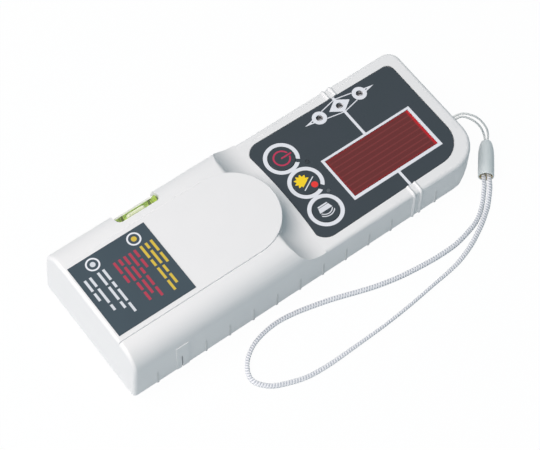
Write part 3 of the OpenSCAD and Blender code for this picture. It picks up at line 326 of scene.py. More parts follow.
# Front half of the case: the same pale plastic, with the rounded grip, the
# raised plateau, the concave ramp and the rim round the film. The flat wall of
# the grip's end comes in facets with slits between them, and is filled as one.
front_shell = shell_from("front_case", "front_shell", case_edge)
wall_area = 100 * mm ** 2
wall_flatness = 0.002 * mm
bm = bmesh.new()
bm.from_mesh(front_shell.data)
walls = [face for face in bm.faces if face.calc_area() > wall_area]
end_wall = min(walls, key=lambda face: face.calc_center_median().y)
wall_way = end_wall.normal.copy()
wall_depth = end_wall.verts[0].co.dot(wall_way)
facets = {face for face in bm.faces
          if all(abs(vert.co.dot(wall_way) - wall_depth) < wall_flatness for vert in face.verts)}
rim = [edge for edge in bm.edges if len(facets.intersection(edge.link_faces)) == 1]
bmesh.ops.delete(bm, geom=list(facets), context="FACES")
for face in bmesh.ops.edgeloop_fill(bm, edges=rim)["faces"]:
    face.smooth = True
bm.to_mesh(front_shell.data)
bm.free()
front_shell.data.set_sharp_from_angle(angle=math.radians(hard_edge))
front_shell.data.materials.append(moulded("front_plastic", case_pale, case_deep, case_rough)[0])
settle(front_shell, "receiver", "case_plastic", "front_case")


# Battery door: a flat moulded lid that swings on a bead at its head end and
# snaps shut with a small hook at the other.
door_pale = (0.82, 0.83, 0.84, 1)
door_deep = (0.79, 0.80, 0.815, 1)
door_rough = 0.45
door_lid = shell_from("battery_door", "door_lid", 0.2 * mm)
door_lid.data.materials.append(moulded("door_plastic", door_pale, door_deep, door_rough)[0])
settle(door_lid, "door", "door_plastic", "battery_door")


# Inside parts: board, chip, light box, switches and battery. They keep their
# solids and get plain finishes, since only the open battery door shows a few.
def stock(name, colour, other, patch, rough, metal, pits=0.02 * mm):
    """Plain stock finish with faint patches of a second colour, and pits of a sixth of their size."""
    material, skin, place = finish(name, Metallic=metal)
    cloud = grain(place, patch)
    cloud.mix(colour, other).into(skin, "Base Color")
    roughen(skin, cloud, low=rough - 0.06, spread=0.12)
    relief(skin, grain(place, patch / 6), depth=pits, strength=0.4)
    return material


# Each finish has two colours, the size of its patches in millimetres, its roughness,
# 1 for metal or 0 for none, and the pieces that have it.
inside = {
    "solder_mask": ((0.02, 0.16, 0.06, 1), (0.03, 0.22, 0.09, 1), 3, 0.4, 0.0, ("main_board",)),
    "chip_resin": ((0.02, 0.02, 0.022, 1), (0.03, 0.03, 0.034, 1), 2, 0.5, 0.0,
                   ("controller_chip", "photodiodes")),
    "light_box_black": ((0.02, 0.02, 0.022, 1), (0.035, 0.035, 0.04, 1), 4, 0.6, 0.0, ("sensor_shield",)),
    "plated_tin": ((0.6, 0.6, 0.6, 1), (0.5, 0.5, 0.5, 1), 2, 0.3, 1.0,
                   ("tact_switches", "battery_terminals", "battery_contacts", "strap_pin")),
    "sounder_brass": ((0.75, 0.55, 0.25, 1), (0.62, 0.44, 0.18, 1), 4, 0.35, 1.0, ("piezo_sounder",)),
    "battery_wrap": ((0.03, 0.035, 0.045, 1), (0.05, 0.055, 0.065, 1), 6, 0.35, 0.0, ("battery",)),
    "wire_red": ((0.5, 0.03, 0.03, 1), (0.4, 0.02, 0.02, 1), 2, 0.4, 0.0, ("battery_leads",)),
    "board_screw_zinc": ((0.62, 0.62, 0.64, 1), (0.5, 0.5, 0.53, 1), 1, 0.3, 1.0, ("board_screws",)),
}
for name, (colour, other, patch, rough, metal, nodes) in inside.items():
    material = stock(name, colour, other, patch * mm, rough, metal)
    for node in nodes:
        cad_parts[node].data.materials.clear()
        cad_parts[node].data.materials.append(material)


# Overlay film: a slate polyester film stuck into the head's recess. Its white
# marks are printed: the window's frame, the key rings, the line and the lights.
def srgb(red, green, blue):
    """Screen colour from 0 to 255 as a linear one."""
    return tuple((c / 255 / 12.92) if c <= 10 else ((c / 255 + 0.055) / 1.055) ** 2.4
                 for c in (red, green, blue)) + (1,)


def distance(x, y, middle):
    """Distance from a point."""
    across = x - middle[0]
    along = y - middle[1]
    return (across * across + along * along) ** 0.5


def box_edge(x, y, middle, half):
    """Signed distance from the edge of a box."""
    return (abs(x - middle[0]) - half[0]).most(abs(y - middle[1]) - half[1])


def stroke(x, y, start, end, half):
    """Signed distance from the edge of a straight stroke."""
    way = Vector(end) - Vector(start)
    across = x - start[0]
    along = y - start[1]
    share = ((across * way.x + along * way.y) / way.length_squared).ramp(1, 0)
    return distance(across - share * way.x, along - share * way.y, (0, 0)) - half


def satin(skin, place, rough):
    """Fine even grain of printed film."""
    fine = grain(place, 0.25 * mm)
    roughen(skin, fine, low=rough, spread=0.1)
    relief(skin, fine, depth=0.02 * mm, strength=0.25)


slate = srgb(54, 62, 71)
slate_deep = srgb(48, 60, 66)
print_white = srgb(232, 235, 242)
line_half = 0.55
frame_middle, frame_half = (6.6, 47.95), (10.4, 20.8)
key_places = ((-13.25, 16.0), (0.4, 17.1), (14.05, 16.0))
ring_middle, ring_half = 6.12, 0.78
ring_gaps = ((math.radians(47.5), 0.75), (math.radians(36.8), 1.05), None)
light_x, light_pitch, light_disc_r = -19.3, 9.5, 2.9
arrow_tip, arrow_slope = 16.3, 0.21
arrow_slot_middle, arrow_slot_half = 12.7, (0.22, 0.45)
diamond_half, diamond_reach = (3.3, 4.85), 2.7
thin_start, thin_end, thin_half = (3.25, 0.6), (1.9, 7.0), 0.2
film_print, film_skin, film_place = finish("film_print", Specular_IOR_Level=0.3)
x, y = flat_place(film_place)
aside = abs(x - light_x)
off_line = abs(y - reference_y)
print_edge = (off_line - line_half).least(box_edge(x, y, frame_middle, frame_half))
for (key_x, key_y), gap in zip(key_places, ring_gaps):
    ring = abs(distance(x, y, (key_x, key_y)) - ring_middle) - ring_half
    if gap is not None:
        turn, half = gap
        along = (x - key_x) * math.cos(turn) + (y - key_y) * math.sin(turn)
        across = (y - key_y) * math.cos(turn) - (x - key_x) * math.sin(turn)
        ring = ring.most(-(abs(across) - half).most(-along))
    print_edge = print_edge.least(ring)
light_disc = distance(aside, off_line, (0, light_pitch)) - light_disc_r
arrow = (aside - (arrow_tip - off_line) * arrow_slope).most(light_pitch - off_line)
arrow_slot = box_edge(aside, off_line, (0, arrow_slot_middle), arrow_slot_half)
diamond = (aside / diamond_half[0] + off_line / diamond_half[1] - 1) * diamond_reach
thin_line = stroke(aside, off_line, thin_start, thin_end, thin_half)
for mark in (light_disc, arrow.most(-arrow_slot), diamond, thin_line):
    print_edge = print_edge.least(mark)
clouds = grain(film_place, 12 * mm)
ink(print_edge).mix(clouds.mix(slate, slate_deep), print_white).into(film_skin, "Base Color")
satin(film_skin, film_place, rough=0.42)
film_sheet = shell_from("overlay_film", "film_sheet", 0.05 * mm)
film_sheet.data.materials.append(film_print)
settle(film_sheet, "receiver", "film", "overlay_film")


# Sensor window: a moulded red filter with fine lines along its back, glossy on
# top, that looks dark over the light box, with painted light along its end wall and rim.
window_middle, window_half = (6.4, 47.9), (9.1, 19.5)
line_count, line_slope, line_level = 7, 7.0, 1.2
lit_from, lit_slope = 66.0, 1.1
rim_reach, rim_share = 1.1, 0.8
red_dark = srgb(103, 40, 41)
red_line = srgb(136, 58, 60)
red_rim_painted_light = srgb(136, 24, 30)
red_painted_glow = srgb(196, 26, 38)
window_red, window_skin, window_place = finish("window_red", Specular_IOR_Level=0.25)
x, y = flat_place(window_place)
line_pitch = 2 * window_half[0] / (line_count + 1)
phase = abs((x - window_middle[0] + window_half[0]) / line_pitch - 0.5)
across = phase.math("FRACT", phase) - 0.5
line = abs(across).ramp(-line_slope, line_level)
# The end wall and the rim get a brighter red: painted light shining through the filter's edges.
lit_end = y.ramp(lit_slope, -lit_from * lit_slope)
lit_rim = box_edge(x, y, window_middle, window_half).ramp(1, rim_reach)
patchy = grain(window_place, 6 * mm)
red = (line * (0.3 + 0.5 * patchy)).mix(red_dark, red_line)
red = (lit_rim * rim_share).mix(red, red_rim_painted_light)
lit_end.mix(red, red_painted_glow).into(window_skin, "Base Color")
roughen(window_skin, patchy, low=0.2, spread=0.1)
relief(window_skin, line, depth=0.04 * mm, strength=0.3)
red_filter = shell_from("sensor_window", "red_filter", 0.12 * mm)
red_filter.data.materials.append(window_red)
settle(red_filter, "receiver", "window_red", "sensor_window")


# Keys: three round moulded keys in the film's openings, each with its own printed
# sign. They stand a little proud and sink half a millimetre onto their switches.
sign_red = srgb(190, 52, 88)
sign_yellow = srgb(250, 215, 40)
sign_dot = srgb(235, 60, 55)
sign_white = srgb(226, 229, 236)
key_slate = srgb(50, 60, 68)
key_slate_deep = srgb(44, 56, 62)


def key_finish(name, signs):
    """Satin key face with signs, each a function that gives its edge and a colour."""
    material, skin, place = finish(name, Specular_IOR_Level=0.3)
    x, y = flat_place(place)
    colour = grain(place, 6 * mm).mix(key_slate, key_slate_deep)
    for edge, paint in signs(x, y):
        colour = ink(edge).mix(colour, paint)
    colour.into(skin, "Base Color")
    satin(skin, place, rough=0.4)
    return material


def power_sign(x, y):
    """Open ring with a bar from its middle."""
    middle, bar_end = (-13.25, 16.15), (-13.25, 20.2)
    ring_r, half, opening_half = 3.1, 0.33, 0.8
    ring = abs(distance(x, y, middle) - ring_r) - half
    opening = (abs(x - middle[0]) - opening_half).most(middle[1] - y)
    bar = stroke(x, y, middle, bar_end, half)
    return [(ring.most(-opening).least(bar), sign_red)]


def mode_sign(x, y):
    """Coarse and fine: a yellow burst cut off beside a stroke, and a red dot."""
    middle, burst_r, spike_count, spike_rise = (-0.8, 16.1), 1.95, 10, 2.2
    cut_from, cut_way, cut_gap = (-0.12, 20.71), (0.885, 0.465), 1.15
    dash_start, dash_end, dash_half = (-0.1, 20.6), (3.0, 14.8), 0.2
    dot_middle, dot_r = (2.95, 19.2), 1.3
    turn = x.math("ARCTAN2", y - middle[1], x - middle[0])
    spikes = turn.math("PINGPONG", turn * (spike_count / math.tau), 0.5)
    burst = distance(x, y, middle) - burst_r - spikes * spike_rise
    burst = burst.most((x - cut_from[0]) * cut_way[0] + (y - cut_from[1]) * cut_way[1] + cut_gap)
    dash = stroke(x, y, dash_start, dash_end, dash_half)
    dot = distance(x, y, dot_middle) - dot_r
    return [(burst, sign_yellow), (dash, sign_white), (dot, sign_dot)]


def sound_sign(x, y):
    """Loudspeaker with two waves."""
    middle_y, back_x, front_x, back_half, flare = 16.05, 11.45, 14.2, 2.0, 0.29
    gap_x, gap_half = 12.15, 0.11
    wave_x, wave_reach, wave_half, wave_from, wave_side = 12.9, (2.95, 3.85), 0.2, 14.55, 2.9
    side = abs(y - middle_y)
    cone = (side - back_half - (x - back_x) * flare).most(back_x - x).most(x - front_x)
    gap = abs(x - gap_x) - gap_half
    reach = distance(x, y, (wave_x, middle_y))
    near, far = (abs(reach - r) - wave_half for r in wave_reach)
    waves = near.least(far).most(wave_from - x).most(side - wave_side)
    return [(cone.most(-gap).least(waves), sign_white)]


keys = (("button_power", "power_key", power_sign), ("button_mode", "mode_key", mode_sign),
        ("button_sound", "sound_key", sound_sign))
for node, body, sign in keys:
    name = node.replace("button", "key")
    key_face = shell_from(node, name, 0.15 * mm)
    key_face.data.materials.append(key_finish(name, sign))
    settle(key_face, body, "key_film", node)


# Lights: three clear indicator lamps under the film's holes, dark grey with a
# painted highlight on one side, and the smoked ends of two light pipes beside the
# keys, of which the second is paler with a painted glint.
def lens_finish(name, tint, deep, pale, highlight_from, rough):
    """Smoked moulded lens with a painted highlight past a line across the case, in millimetres."""
    highlight_slope = 1.6
    material, skin, place = finish(name, IOR=1.5, Specular_IOR_Level=0.3)
    # Past the line the lens is painted pale: a painted highlight.
    side = flat_place(place)[0].ramp(highlight_slope, -highlight_slope * highlight_from)
    side.mix(grain(place, 1.2 * mm).mix(tint, deep), pale).into(skin, "Base Color")
    roughen(skin, grain(place, 0.4 * mm), low=rough, spread=0.08)
    return material


lamp_tint, lamp_deep, lamp_painted_highlight = srgb(84, 85, 88), srgb(70, 71, 74), srgb(214, 216, 220)
lamp_lens = lens_finish("lamp_lens", lamp_tint, lamp_deep, lamp_painted_highlight, highlight_from=light_x + 0.1, rough=0.2)
lamp_lenses = shell_from("indicator_leds", "lamp_lenses", 0)
lamp_lenses.data.materials.append(lamp_lens)
settle(lamp_lenses, "receiver", "led_lens", "indicator_leds")

pipe_tint, pipe_deep, pipe_painted_glint = srgb(50, 57, 65), srgb(45, 52, 59), srgb(86, 94, 100)
pipe_lens = lens_finish("pipe_lens", pipe_tint, pipe_deep, pipe_painted_glint, highlight_from=0, rough=0.3)
pipe_ends = shell_from("status_pipes", "pipe_ends", 0.08 * mm)
pipe_ends.data.materials.append(pipe_lens)
settle(pipe_ends, "receiver", "pipe_lens", "status_pipes")


# Level vial: a clear acrylic tube of yellow-green spirit in a notch of the
# shoulder, with two dark marks in its bore, a bubble and a plug at each end.
vial_low, vial_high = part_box("vial_tube")
vial_middle = (vial_low + vial_high) / 2
vial_r = (vial_high.x - vial_low.x) / 2
tube_pale, tube_deep = srgb(232, 244, 190), srgb(222, 238, 172)
vial_clear, vial_skin, vial_place = finish("vial_clear", IOR=1.45, Roughness=0.06)
clouds = grain(vial_place, 4 * mm)
clouds.mix(tube_pale, tube_deep).into(vial_skin, "Base Color")
(0.06 + 0.04 * clouds).into(vial_skin, "Alpha")
vial_glass = shell_from("vial_tube", "vial_glass", 0.15 * mm)
vial_glass.data.materials.append(vial_clear)
settle(vial_glass, "receiver", "vial_clear", "vial_tube")

spirit_pale, spirit_deep = srgb(206, 234, 128), srgb(192, 224, 110)
spirit_end, mark_green = srgb(168, 196, 82), srgb(84, 104, 26)
mark_shift, mark_reach, mark_half = 0.5, 5.9, 0.45
spirit, spirit_skin, spirit_place = finish("spirit", IOR=1.36, Roughness=0.1, Coat_Weight=0.2)
from_middle = abs(flat_place(spirit_place)[1] - vial_middle.y / mm - mark_shift)
marks = ink(abs(from_middle - mark_reach) - mark_half)
ends = ink(mark_reach - from_middle)
green = grain(spirit_place, 3 * mm).mix(spirit_pale, spirit_deep)
green = ends.mix(green, spirit_end)
marks.mix(green, mark_green).into(spirit_skin, "Base Color")
spirit_fill = shell_from("vial_spirit", "spirit_fill", 0)
spirit_fill.data.materials.append(spirit)
settle(spirit_fill, "receiver", "spirit", "vial_spirit")

end_round = 2.0 * mm
end_crown = 1.3 * mm
round_start = vial_high.y - vial_middle.y - end_round
vial_ends = shell_from("vial_plugs", "vial_ends", 0.1 * mm)
for vert in vial_ends.data.vertices:
    past = max(0, abs(vert.co.y - vial_middle.y) - round_start)
    crown = vial_r - end_round + math.sqrt(max(0, end_round ** 2 - past ** 2))
    if crown < end_crown and vert.co.z > vial_middle.z:
        vert.co.z = vial_middle.z + (vert.co.z - vial_middle.z) * end_crown / crown
vial_ends.data.materials.append(spirit)
settle(vial_ends, "receiver", "vial_clear", "vial_plugs")

air_pale, air_deep, air_shade = srgb(248, 251, 232), srgb(238, 244, 216), srgb(206, 212, 180)
shade_slope, shade_start = 0.9, 0.3
air, air_skin, air_place = finish("bubble_air", IOR=1.1, Roughness=0.08, Coat_Weight=0.5)
shaded = flat_place(air_place)[0].ramp(shade_slope, shade_start - shade_slope * vial_middle.x / mm)
pale_air = grain(air_place, 2 * mm).mix(air_pale, air_deep)
shaded.mix(pale_air, air_shade).into(air_skin, "Base Color")
air_bubble = shell_from("bubble", "air_bubble", 0)
air_bubble.data.materials.append(air)
settle(air_bubble, "level_bubble", "bubble_air", "bubble")


# Label: a thin printed plate stuck on the plateau. Its rows are plain dashes in
# three colours, with a ring beside two of them.
label_slate = srgb(60, 76, 86)
label_deep = srgb(54, 69, 79)
row_yellow = srgb(214, 186, 70)
row_red = srgb(176, 58, 80)
row_white = srgb(214, 219, 226)
row_start, row_half, dash_gap = -8.8, 0.5, 1.0
rows = (
    (row_yellow, ((-45.9, (5.2, 4.6)), (-48.1, (2.6, 6.4, 3.2, 4.4)), (-50.3, (5.8, 3.0, 5.2, 4.6)))),
    (row_red, ((-53.0, (3.4, 4.0)), (-55.2, (6.2, 2.8, 4.6, 4.2)), (-57.4, (4.0, 5.6, 6.4)),
               (-59.6, (2.8, 6.6, 3.6, 3.8)), (-61.8, (5.4, 3.4)))),
    (row_white, ((-66.4, (5.0, 2.6, 5.6, 4.2)), (-68.6, (6.0, 6.2, 3.0)), (-72.0, (4.4, 6.8, 2.6)),
                 (-74.2, (5.2, 3.6)))),
)
mark_x, mark_r, mark_line_half, dab_r = -12.65, 2.4, 0.32, 1.05
label_print, label_skin, label_place = finish("label_print", Specular_IOR_Level=0.3)
x, y = flat_place(label_place)
colour = grain(label_place, 12 * mm).mix(label_slate, label_deep)
for paint, lines in rows:
    for row_y, dashes in lines:
        edge = None
        start = row_start
        for dash in dashes:
            bar = abs(x - (start + dash / 2)) - dash / 2
            edge = bar if edge is None else edge.least(bar)
            start += dash + dash_gap
        colour = ink(edge.most(abs(y - row_y) - row_half)).mix(colour, paint)
for mark_y, dab in ((-50.5, row_yellow), (-68.2, row_white)):
    reach = distance(x, y, (mark_x, mark_y))
    colour = ink(abs(reach - mark_r) - mark_line_half).mix(colour, print_white)
    colour = ink(reach - dab_r).mix(colour, dab)
colour.into(label_skin, "Base Color")
satin(label_skin, label_place, rough=0.4)
label_sheet = shell_from("label_plate", "label_sheet", 0.04 * mm)
label_sheet.data.materials.append(label_print)
settle(label_sheet, "receiver", "label_film", "label_plate")


# Case screws: four zinc-plated pan heads sunk in the back, each with a cross
# recess for the driver.
def turned(profile, steps=48):
    """Bmesh of a profile of radius and height, spun once round Z and closed."""
    bm = bmesh.new()
    verts = [bm.verts.new((r, 0, z)) for r, z in profile]
    edges = [bm.edges.new(pair) for pair in zip(verts, verts[1:])]
    bmesh.ops.spin(bm, geom=verts + edges, cent=(0, 0, 0), axis=(0, 0, 1), angle=math.tau, steps=steps,
                   use_merge=True)
    bmesh.ops.remove_doubles(bm, verts=bm.verts, dist=0.0001 * mm)
    bmesh.ops.recalc_face_normals(bm, faces=bm.faces)
    return bm


def mesh_piece(name, bm, material, sharp=hard_edge):
    """Object of a finished bmesh, smooth on its curves."""
    mesh = bpy.data.meshes.new(name)
    bm.to_mesh(mesh)
    bm.free()
    mesh.shade_smooth()
    mesh.set_sharp_from_angle(angle=math.radians(sharp))
    mesh.materials.append(material)
    return bpy.data.objects.new(name, mesh)


zinc_pale, zinc_deep = (0.62, 0.62, 0.64, 1), (0.5, 0.5, 0.53, 1)
screw_zinc = stock("screw_zinc", zinc_pale, zinc_deep, 1.2 * mm, rough=0.28, metal=1.0, pits=0.01 * mm)
seat_z = 2.6 * mm
head_r = 2.3 * mm
head_h = 1.7 * mm
head_low = seat_z - head_h
shank_r = 1.2 * mm
shank_tip_r = 0.36 * mm
shank_tip_l = 1.0 * mm
slot_half = 0.32 * mm
slot_reach = 1.25 * mm
slot_depth = 0.8 * mm
slot_taper = 0.8
flatness = 0.001 * mm
# The crown has shares of the head's radius, each with a height in millimetres. Each
# screw has its place across and along the case, and its shank's length, in millimetres.
head_crown = ((1, 0.7), (0.93, 0.3), (0.8, 0.1), (0.68, 0))
screw_places = ((19.5, -71, 13.4), (-19.5, -71, 13.4), (20.0, 62.5, 9.4), (-21.5, 62.5, 9.4))
screws = bmesh.new()
for at_x, at_y, shank_l in screw_places:
    shank_end = seat_z + shank_l * mm
    profile = [(shank_tip_r, shank_end), (shank_r, shank_end - shank_tip_l),
               (shank_r, seat_z), (head_r, seat_z)]
    bm = turned(profile + [(head_r * share, head_low + rise * mm) for share, rise in head_crown])
    rim = [edge for edge in bm.edges if all(abs(vert.co.z - head_low) < flatness for vert in edge.verts)]
    tip = [edge for edge in bm.edges if edge.is_boundary and edge not in rim]
    bmesh.ops.edgeloop_fill(bm, edges=tip)
    corners = []
    quarter = [(slot_half, slot_reach), (slot_half, slot_half), (slot_reach, slot_half)]
    for arm in range(4):
        corners += quarter
        quarter = [(corner_y, -corner_x) for corner_x, corner_y in quarter]
    cross = [bm.verts.new((corner_x, corner_y, head_low)) for corner_x, corner_y in corners]
    slot = [bm.edges.new(pair) for pair in zip(cross, cross[1:] + cross[:1])]
    bmesh.ops.triangle_fill(bm, edges=rim + slot, use_beauty=True, use_dissolve=False)
    filled = [face for face in bm.faces if all(vert in cross for vert in face.verts)]
    bmesh.ops.delete(bm, geom=filled, context="FACES_ONLY")
    sunk = bmesh.ops.extrude_edge_only(bm, edges=slot)["geom"]
    sunk_verts = [part for part in sunk if isinstance(part, bmesh.types.BMVert)]
    sunk_edges = [part for part in sunk if isinstance(part, bmesh.types.BMEdge)
                  and all(vert in sunk_verts for vert in part.verts)]
    bmesh.ops.translate(bm, verts=sunk_verts, vec=(0, 0, slot_depth))
    bmesh.ops.scale(bm, verts=sunk_verts, vec=(slot_taper, slot_taper, 1))
    bmesh.ops.edgeloop_fill(bm, edges=sunk_edges)
    bmesh.ops.recalc_face_normals(bm, faces=bm.faces)
    bmesh.ops.translate(bm, verts=bm.verts, vec=(at_x * mm, at_y * mm, 0))
    one_screw = bpy.data.meshes.new("screw")
    bm.to_mesh(one_screw)
    bm.free()
    screws.from_mesh(one_screw)
    bpy.data.meshes.remove(one_screw)
back_screws = mesh_piece("back_screws", screws, screw_zinc)
settle(back_screws, "receiver", "screw_steel", "case_screws")


# Clamp insert: a turned brass bush pressed into the back, tapped for the
# screw of a rod clamp.
brass_pale, brass_deep = (0.78, 0.58, 0.27, 1), (0.68, 0.48, 0.2, 1)
insert_brass = stock("insert_brass", brass_pale, brass_deep, 2 * mm, rough=0.25, metal=1.0, pits=0.01 * mm)
insert_low, insert_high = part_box("threaded_insert")
insert_r = (insert_high.x - insert_low.x) / 2
insert_at = (insert_low + insert_high) / 2
bore_r = 2.6 * mm
thread_r = 2.95 * mm
thread_pitch = 1.0 * mm
crest_from, crest_to = 0.45, 0.55
chamfer = 0.4 * mm
low, high = insert_low.z, insert_high.z
profile = [(thread_r, low)]
for turn in range(int((high - low) / thread_pitch)):
    start = low + turn * thread_pitch
    profile += [(bore_r, start + crest_from * thread_pitch), (bore_r, start + crest_to * thread_pitch),
                (thread_r, start + thread_pitch)]
profile += [(insert_r - chamfer, high), (insert_r, high - chamfer), (insert_r, low + chamfer),
            (insert_r - chamfer, low), (thread_r, low)]
bm = turned(profile, steps=64)
bmesh.ops.translate(bm, verts=bm.verts, vec=(insert_at.x, insert_at.y, 0))
clamp_bush = mesh_piece("clamp_bush", bm, insert_brass, sharp=25)
settle(clamp_bush, "receiver", "insert_brass", "threaded_insert")


# Wrist strap's ferrule: a smooth grey plastic bullet, hollow at its mouth, that
# is crimped over the ends of the string and of the cord.
ferrule_r, ferrule_l = 3.1, 16.2
ferrule_tip = Vector((20.0, 89.2, ferrule_r))
ferrule_way = Vector((12.4, -10.4, 0)).normalized()
mouth_r, mouth_floor = 2.5, 14.2
tan_r, tan_from = 2.56, 14.1
nose_r, nose_l, nose_start, nose_steps = 1.35, 8.1, 0.4, 12
pole_r = 0.02
profile = [(pole_r, mouth_floor), (2.45, mouth_floor), (mouth_r, 14.3), (mouth_r, 16.0), (2.62, 16.16),
           (2.8, ferrule_l), (2.98, 16.14), (3.08, 15.98), (ferrule_r, 15.7)]
for i in range(nose_steps, -1, -1):
    a = math.radians(90) * i / nose_steps
    profile.append((nose_r + (ferrule_r - nose_r) * math.sin(a), nose_start + nose_l * (1 - math.cos(a))))
profile += [(1.2, nose_start), (pole_r, nose_start)]
bm = turned([(r * mm, z * mm) for r, z in profile])
bmesh.ops.rotate(bm, verts=bm.verts, cent=(0, 0, 0), matrix=ferrule_way.to_track_quat("Z", "Y").to_matrix())
bmesh.ops.translate(bm, verts=bm.verts, vec=ferrule_tip * mm)
ferrule_pale, ferrule_deep, mouth_tan = srgb(225, 232, 233), srgb(215, 223, 225), srgb(220, 204, 160)
ferrule_grey, ferrule_skin, ferrule_place = finish("ferrule_grey", IOR=1.5)
from_tip = ferrule_place.node("VectorMath", {"operation": "SUBTRACT"},
                              {0: ferrule_place, 1: ferrule_tip * mm})
along = from_tip.node("VectorMath", {"operation": "DOT_PRODUCT"}, {0: from_tip, 1: ferrule_way}, "Value")
reach = from_tip.node("VectorMath", {"operation": "LENGTH"}, {0: from_tip}, "Value")
from_axis = (reach * reach - along * along).most(0) ** 0.5 * (1 / mm)
mouth = ink(from_axis - tan_r) * ink(tan_from - along * (1 / mm))
outside = grain(ferrule_place, 4 * mm).mix(ferrule_pale, ferrule_deep)
mouth.mix(outside, mouth_tan).into(ferrule_skin, "Base Color")
fine = grain(ferrule_place, 0.4 * mm)
roughen(ferrule_skin, fine, low=0.3, spread=0.1)
relief(ferrule_skin, fine, depth=0.02 * mm, strength=0.2)
strap_bullet = mesh_piece("strap_bullet", bm, ferrule_grey, sharp=40)
settle(strap_bullet, "receiver", "ferrule_plastic", "strap_ferrule")


# Wrist strap's string: a thin twisted string that leaves the ferrule's tip, goes
# round the pin in the nose and comes back beside itself.
def smooth_route(points, steps):
    """Smooth curve through points in millimetres, given in metres."""
    line = []
    last = len(points) - 1
    for i in range(last):
        a, b, c, d = (Vector(points[max(0, min(last, k))]) for k in (i - 1, i, i + 1, i + 2))
        for k in range(steps):
            t = k / steps
            line.append((2 * b + (c - a) * t + (2 * a - 5 * b + 4 * c - d) * t ** 2
                         + (3 * b - a - 3 * c + d) * t ** 3) * (mm / 2))
    line.append(Vector(points[last]) * mm)
    return line


def even_route(line, step):
    """The same line with points an even step apart."""
    least_gap = 1e-12
    along = [0.0]
    for a, b in zip(line, line[1:]):
        along.append(along[-1] + (b - a).length)
    count = max(2, round(along[-1] / step))
    spaced, k = [], 0
    for i in range(count + 1):
        at = along[-1] * i / count
        while k < len(line) - 2 and along[k + 1] < at:
            k += 1
        share = (at - along[k]) / max(along[k + 1] - along[k], least_gap)
        spaced.append(line[k].lerp(line[k + 1], min(1, share)))
    return spaced


def woven_tube(name, line, radius, sides, strands, lay, depth, flat=1.0, twist=((0, 0), (1, 0))):
    """Tube along a line whose surface rises and falls like braided strands.

    The rise is kept as an attribute. A flat share below 1 presses the tube, and twist
    holds shares of its length, each with the turn of the pressed side in degrees.
    """
    under_share = 0.4
    curve = bpy.data.curves.new(name, "CURVE")
    curve.dimensions = "3D"
    curve.bevel_depth = radius
    curve.bevel_resolution = sides // 2 - 2
    curve.use_fill_caps = True
    spline = curve.splines.new("POLY")
    spline.points.add(len(line) - 1)
    for point, place in zip(spline.points, line):
        point.co = (*place, 1)
    rod = bpy.data.objects.new(name, curve)
    mesh = bpy.data.meshes.new_from_object(rod)
    bpy.data.objects.remove(rod)
    bpy.data.curves.remove(curve)
    rise = mesh.attributes.new("weave", "FLOAT", "POINT")
    length = sum((b - a).length for a, b in zip(line, line[1:]))
    step = length / (len(line) - 1)
    for i, vert in enumerate(mesh.vertices):
        ring, side = divmod(i, sides)
        if ring >= len(line):
            continue
        turn = side / sides * strands
        along = ring * step / lay
        left = math.cos(math.tau * (turn + along))
        right = math.cos(math.tau * (turn - along))
        over = max(left, under_share * right) * 0.5 + 0.5
        rise.data[i].value = over
        out = vert.co - line[ring]
        out *= 1 + (over - 1) * depth / radius
        share = ring / (len(line) - 1)
        a, b = next(pair for pair in zip(twist, twist[1:]) if share <= pair[1][0])
        lean = math.radians(a[1] + (b[1] - a[1]) * (share - a[0]) / (b[0] - a[0]))
        way = line[min(ring + 1, len(line) - 1)] - line[max(ring - 1, 0)]
        side_way = way.cross((0, 0, 1)).normalized()
        pressed = side_way * math.sin(lean) + Vector((0, 0, math.cos(lean)))
        sink = radius * (1 - math.hypot(flat * math.cos(lean), math.sin(lean)))
        vert.co = line[ring] + out - pressed * (out.dot(pressed) * (1 - flat)) - Vector((0, 0, sink))
    mesh.shade_smooth()
    return mesh, length


def fibre(name, pale, deep, rough):
    """Fibre finish: pale on the strands, and darker between them with painted shade."""
    deep_below, pale_above = 0.35, 0.9
    material, skin, place = finish(name, Sheen_Weight=0.25, Sheen_Roughness=0.5)
    weave = place.node("Attribute", {"attribute_name": "weave"}, {}, "Fac")
    # The valleys between the strands are painted darker: painted shade.
    lift = place.node("MapRange", {"interpolation_type": "SMOOTHSTEP"},
                      {0: weave, 1: deep_below, 2: pale_above, 3: 0.0, 4: 1.0})
    fuzz = grain(place, 0.25 * mm, detail=3.0)
    (lift * (0.8 + 0.3 * fuzz)).mix(deep, pale).into(skin, "Base Color")
    roughen(skin, fuzz, low=rough, spread=0.15)
    relief(skin, fuzz, depth=0.06 * mm, strength=0.5)
    return material


route_steps = 8
string_d = 0.8
string_pale, string_painted_shade = srgb(232, 235, 234), srgb(212, 216, 216)
pin_at = Vector((9.6, 77.3, 12.95))
turn_r, turn_from, turn_step, turn_steps = 1.501, 90, 30, 7
string_points = [(20.9, 89.1, 3.2), (19.8, 90.1, 3.5), (18.9, 90.8, 4.5), (18.0, 91.0, 6.0),
                 (16.8, 90.6, 8.2), (15.1, 89.8, 10.2), (13.4, 88.6, 11.9), (11.9, 87.0, 13.0),
                 (10.5, 85.3, 13.7), (9.5, 83.2, 14.0), (9.2, 80.6, 14.1)]
for i in range(turn_steps + 1):
    a = math.radians(turn_from + turn_step * i)
    from_pin = Vector((string_d * (i / turn_steps - 0.5), turn_r * math.cos(a), turn_r * math.sin(a)))
    string_points.append(tuple(pin_at + from_pin))
string_points += [(10.1, 80.8, 13.2), (10.4, 82.8, 13.5), (11.2, 84.5, 13.0), (12.5, 86.0, 12.1),
                  (14.0, 87.3, 10.9), (15.3, 88.4, 9.2), (16.4, 89.1, 7.4), (17.5, 89.4, 5.6),
                  (18.4, 89.4, 4.3), (19.3, 89.0, 3.5), (20.3, 88.3, 3.2)]
string_line = even_route(smooth_route(string_points, route_steps), 0.2 * mm)
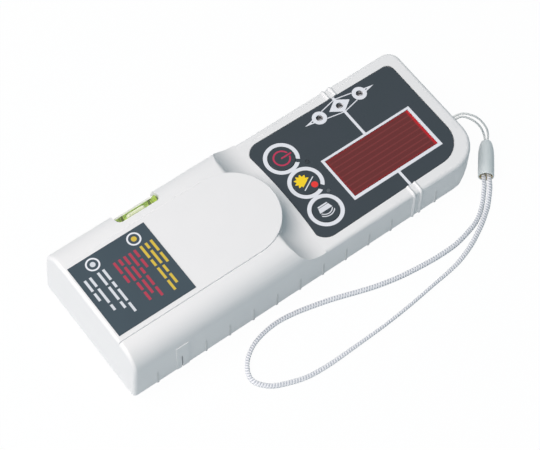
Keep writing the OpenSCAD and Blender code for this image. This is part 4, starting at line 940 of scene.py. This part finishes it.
mesh, string_length = woven_tube("strap_thread", string_line, string_d / 2 * mm, sides=12, strands=3,
                                 lay=1.6 * mm, depth=0.03 * mm)
mesh.materials.append(fibre("string_fibre", string_pale, string_painted_shade, rough=0.55))
strap_thread = bpy.data.objects.new("strap_thread", mesh)
settle(strap_thread, "receiver", "string_fibre", "strap_string")


# Wrist strap's cord: a soft pale braid, pressed a little flat, whose loop lies on
# the table. Both ends sit in the ferrule's mouth.
cord_d = 2.0
cord_pale, cord_painted_shade = srgb(242, 244, 248), srgb(180, 186, 196)
cord_points = [(30.5, 79.0, 3.1), (32.3, 77.8, 3.1), (34.9, 76.0, 2.6), (37.7, 73.4, 1.6),
               (40.4, 70.5, 1.0), (42.6, 67.6, 1.0), (44.2, 64.8, 1.0), (45.3, 62.0, 1.0),
               (46.7, 56.6, 1.0), (47.6, 51.0, 1.0), (47.7, 43.4, 1.0), (47.1, 35.2, 1.0),
               (45.9, 26.0, 1.0), (43.9, 17.0, 1.0), (41.4, 9.0, 1.0), (38.8, 1.2, 1.0),
               (36.8, -6.2, 1.0), (35.2, -13.4, 1.0), (34.4, -20.4, 1.0), (35.0, -27.6, 1.0),
               (37.2, -34.4, 1.0), (41.8, -40.2, 1.0), (47.8, -42.3, 1.0), (53.2, -38.6, 1.0),
               (56.4, -32.0, 1.0), (58.4, -25.0, 1.0), (59.1, -16.0, 1.0), (58.9, -4.0, 1.0),
               (58.5, 9.4, 1.0), (57.6, 21.0, 1.0), (56.1, 33.6, 1.0), (54.3, 46.4, 1.0),
               (51.4, 55.6, 1.0), (48.2, 62.2, 1.0), (45.8, 66.4, 1.0), (44.2, 68.8, 1.0),
               (42.0, 71.9, 1.0), (39.1, 75.0, 1.6), (36.3, 77.6, 2.6), (33.7, 79.4, 3.1),
               (31.9, 80.6, 3.1)]
cord_twist = ((0, -30), (0.3, -30), (0.46, 40), (0.54, 20), (0.62, -20), (0.7, -60), (0.8, -60),
              (0.88, 0), (1, 20))
cord_line = [Vector((p.x, p.y, max(p.z, cord_d / 2 * mm))) for p in smooth_route(cord_points, route_steps)]
cord_line = even_route(cord_line, 0.15 * mm)
mesh, cord_length = woven_tube("strap_braid", cord_line, cord_d / 2 * mm, sides=24, strands=2, lay=1.05 * mm,
                               depth=0.17 * mm, flat=0.68, twist=cord_twist)
mesh.materials.append(fibre("cord_fibre", cord_pale, cord_painted_shade, rough=0.6))
strap_braid = bpy.data.objects.new("strap_braid", mesh)
settle(strap_braid, "receiver", "cord_fibre", "strap_cord")
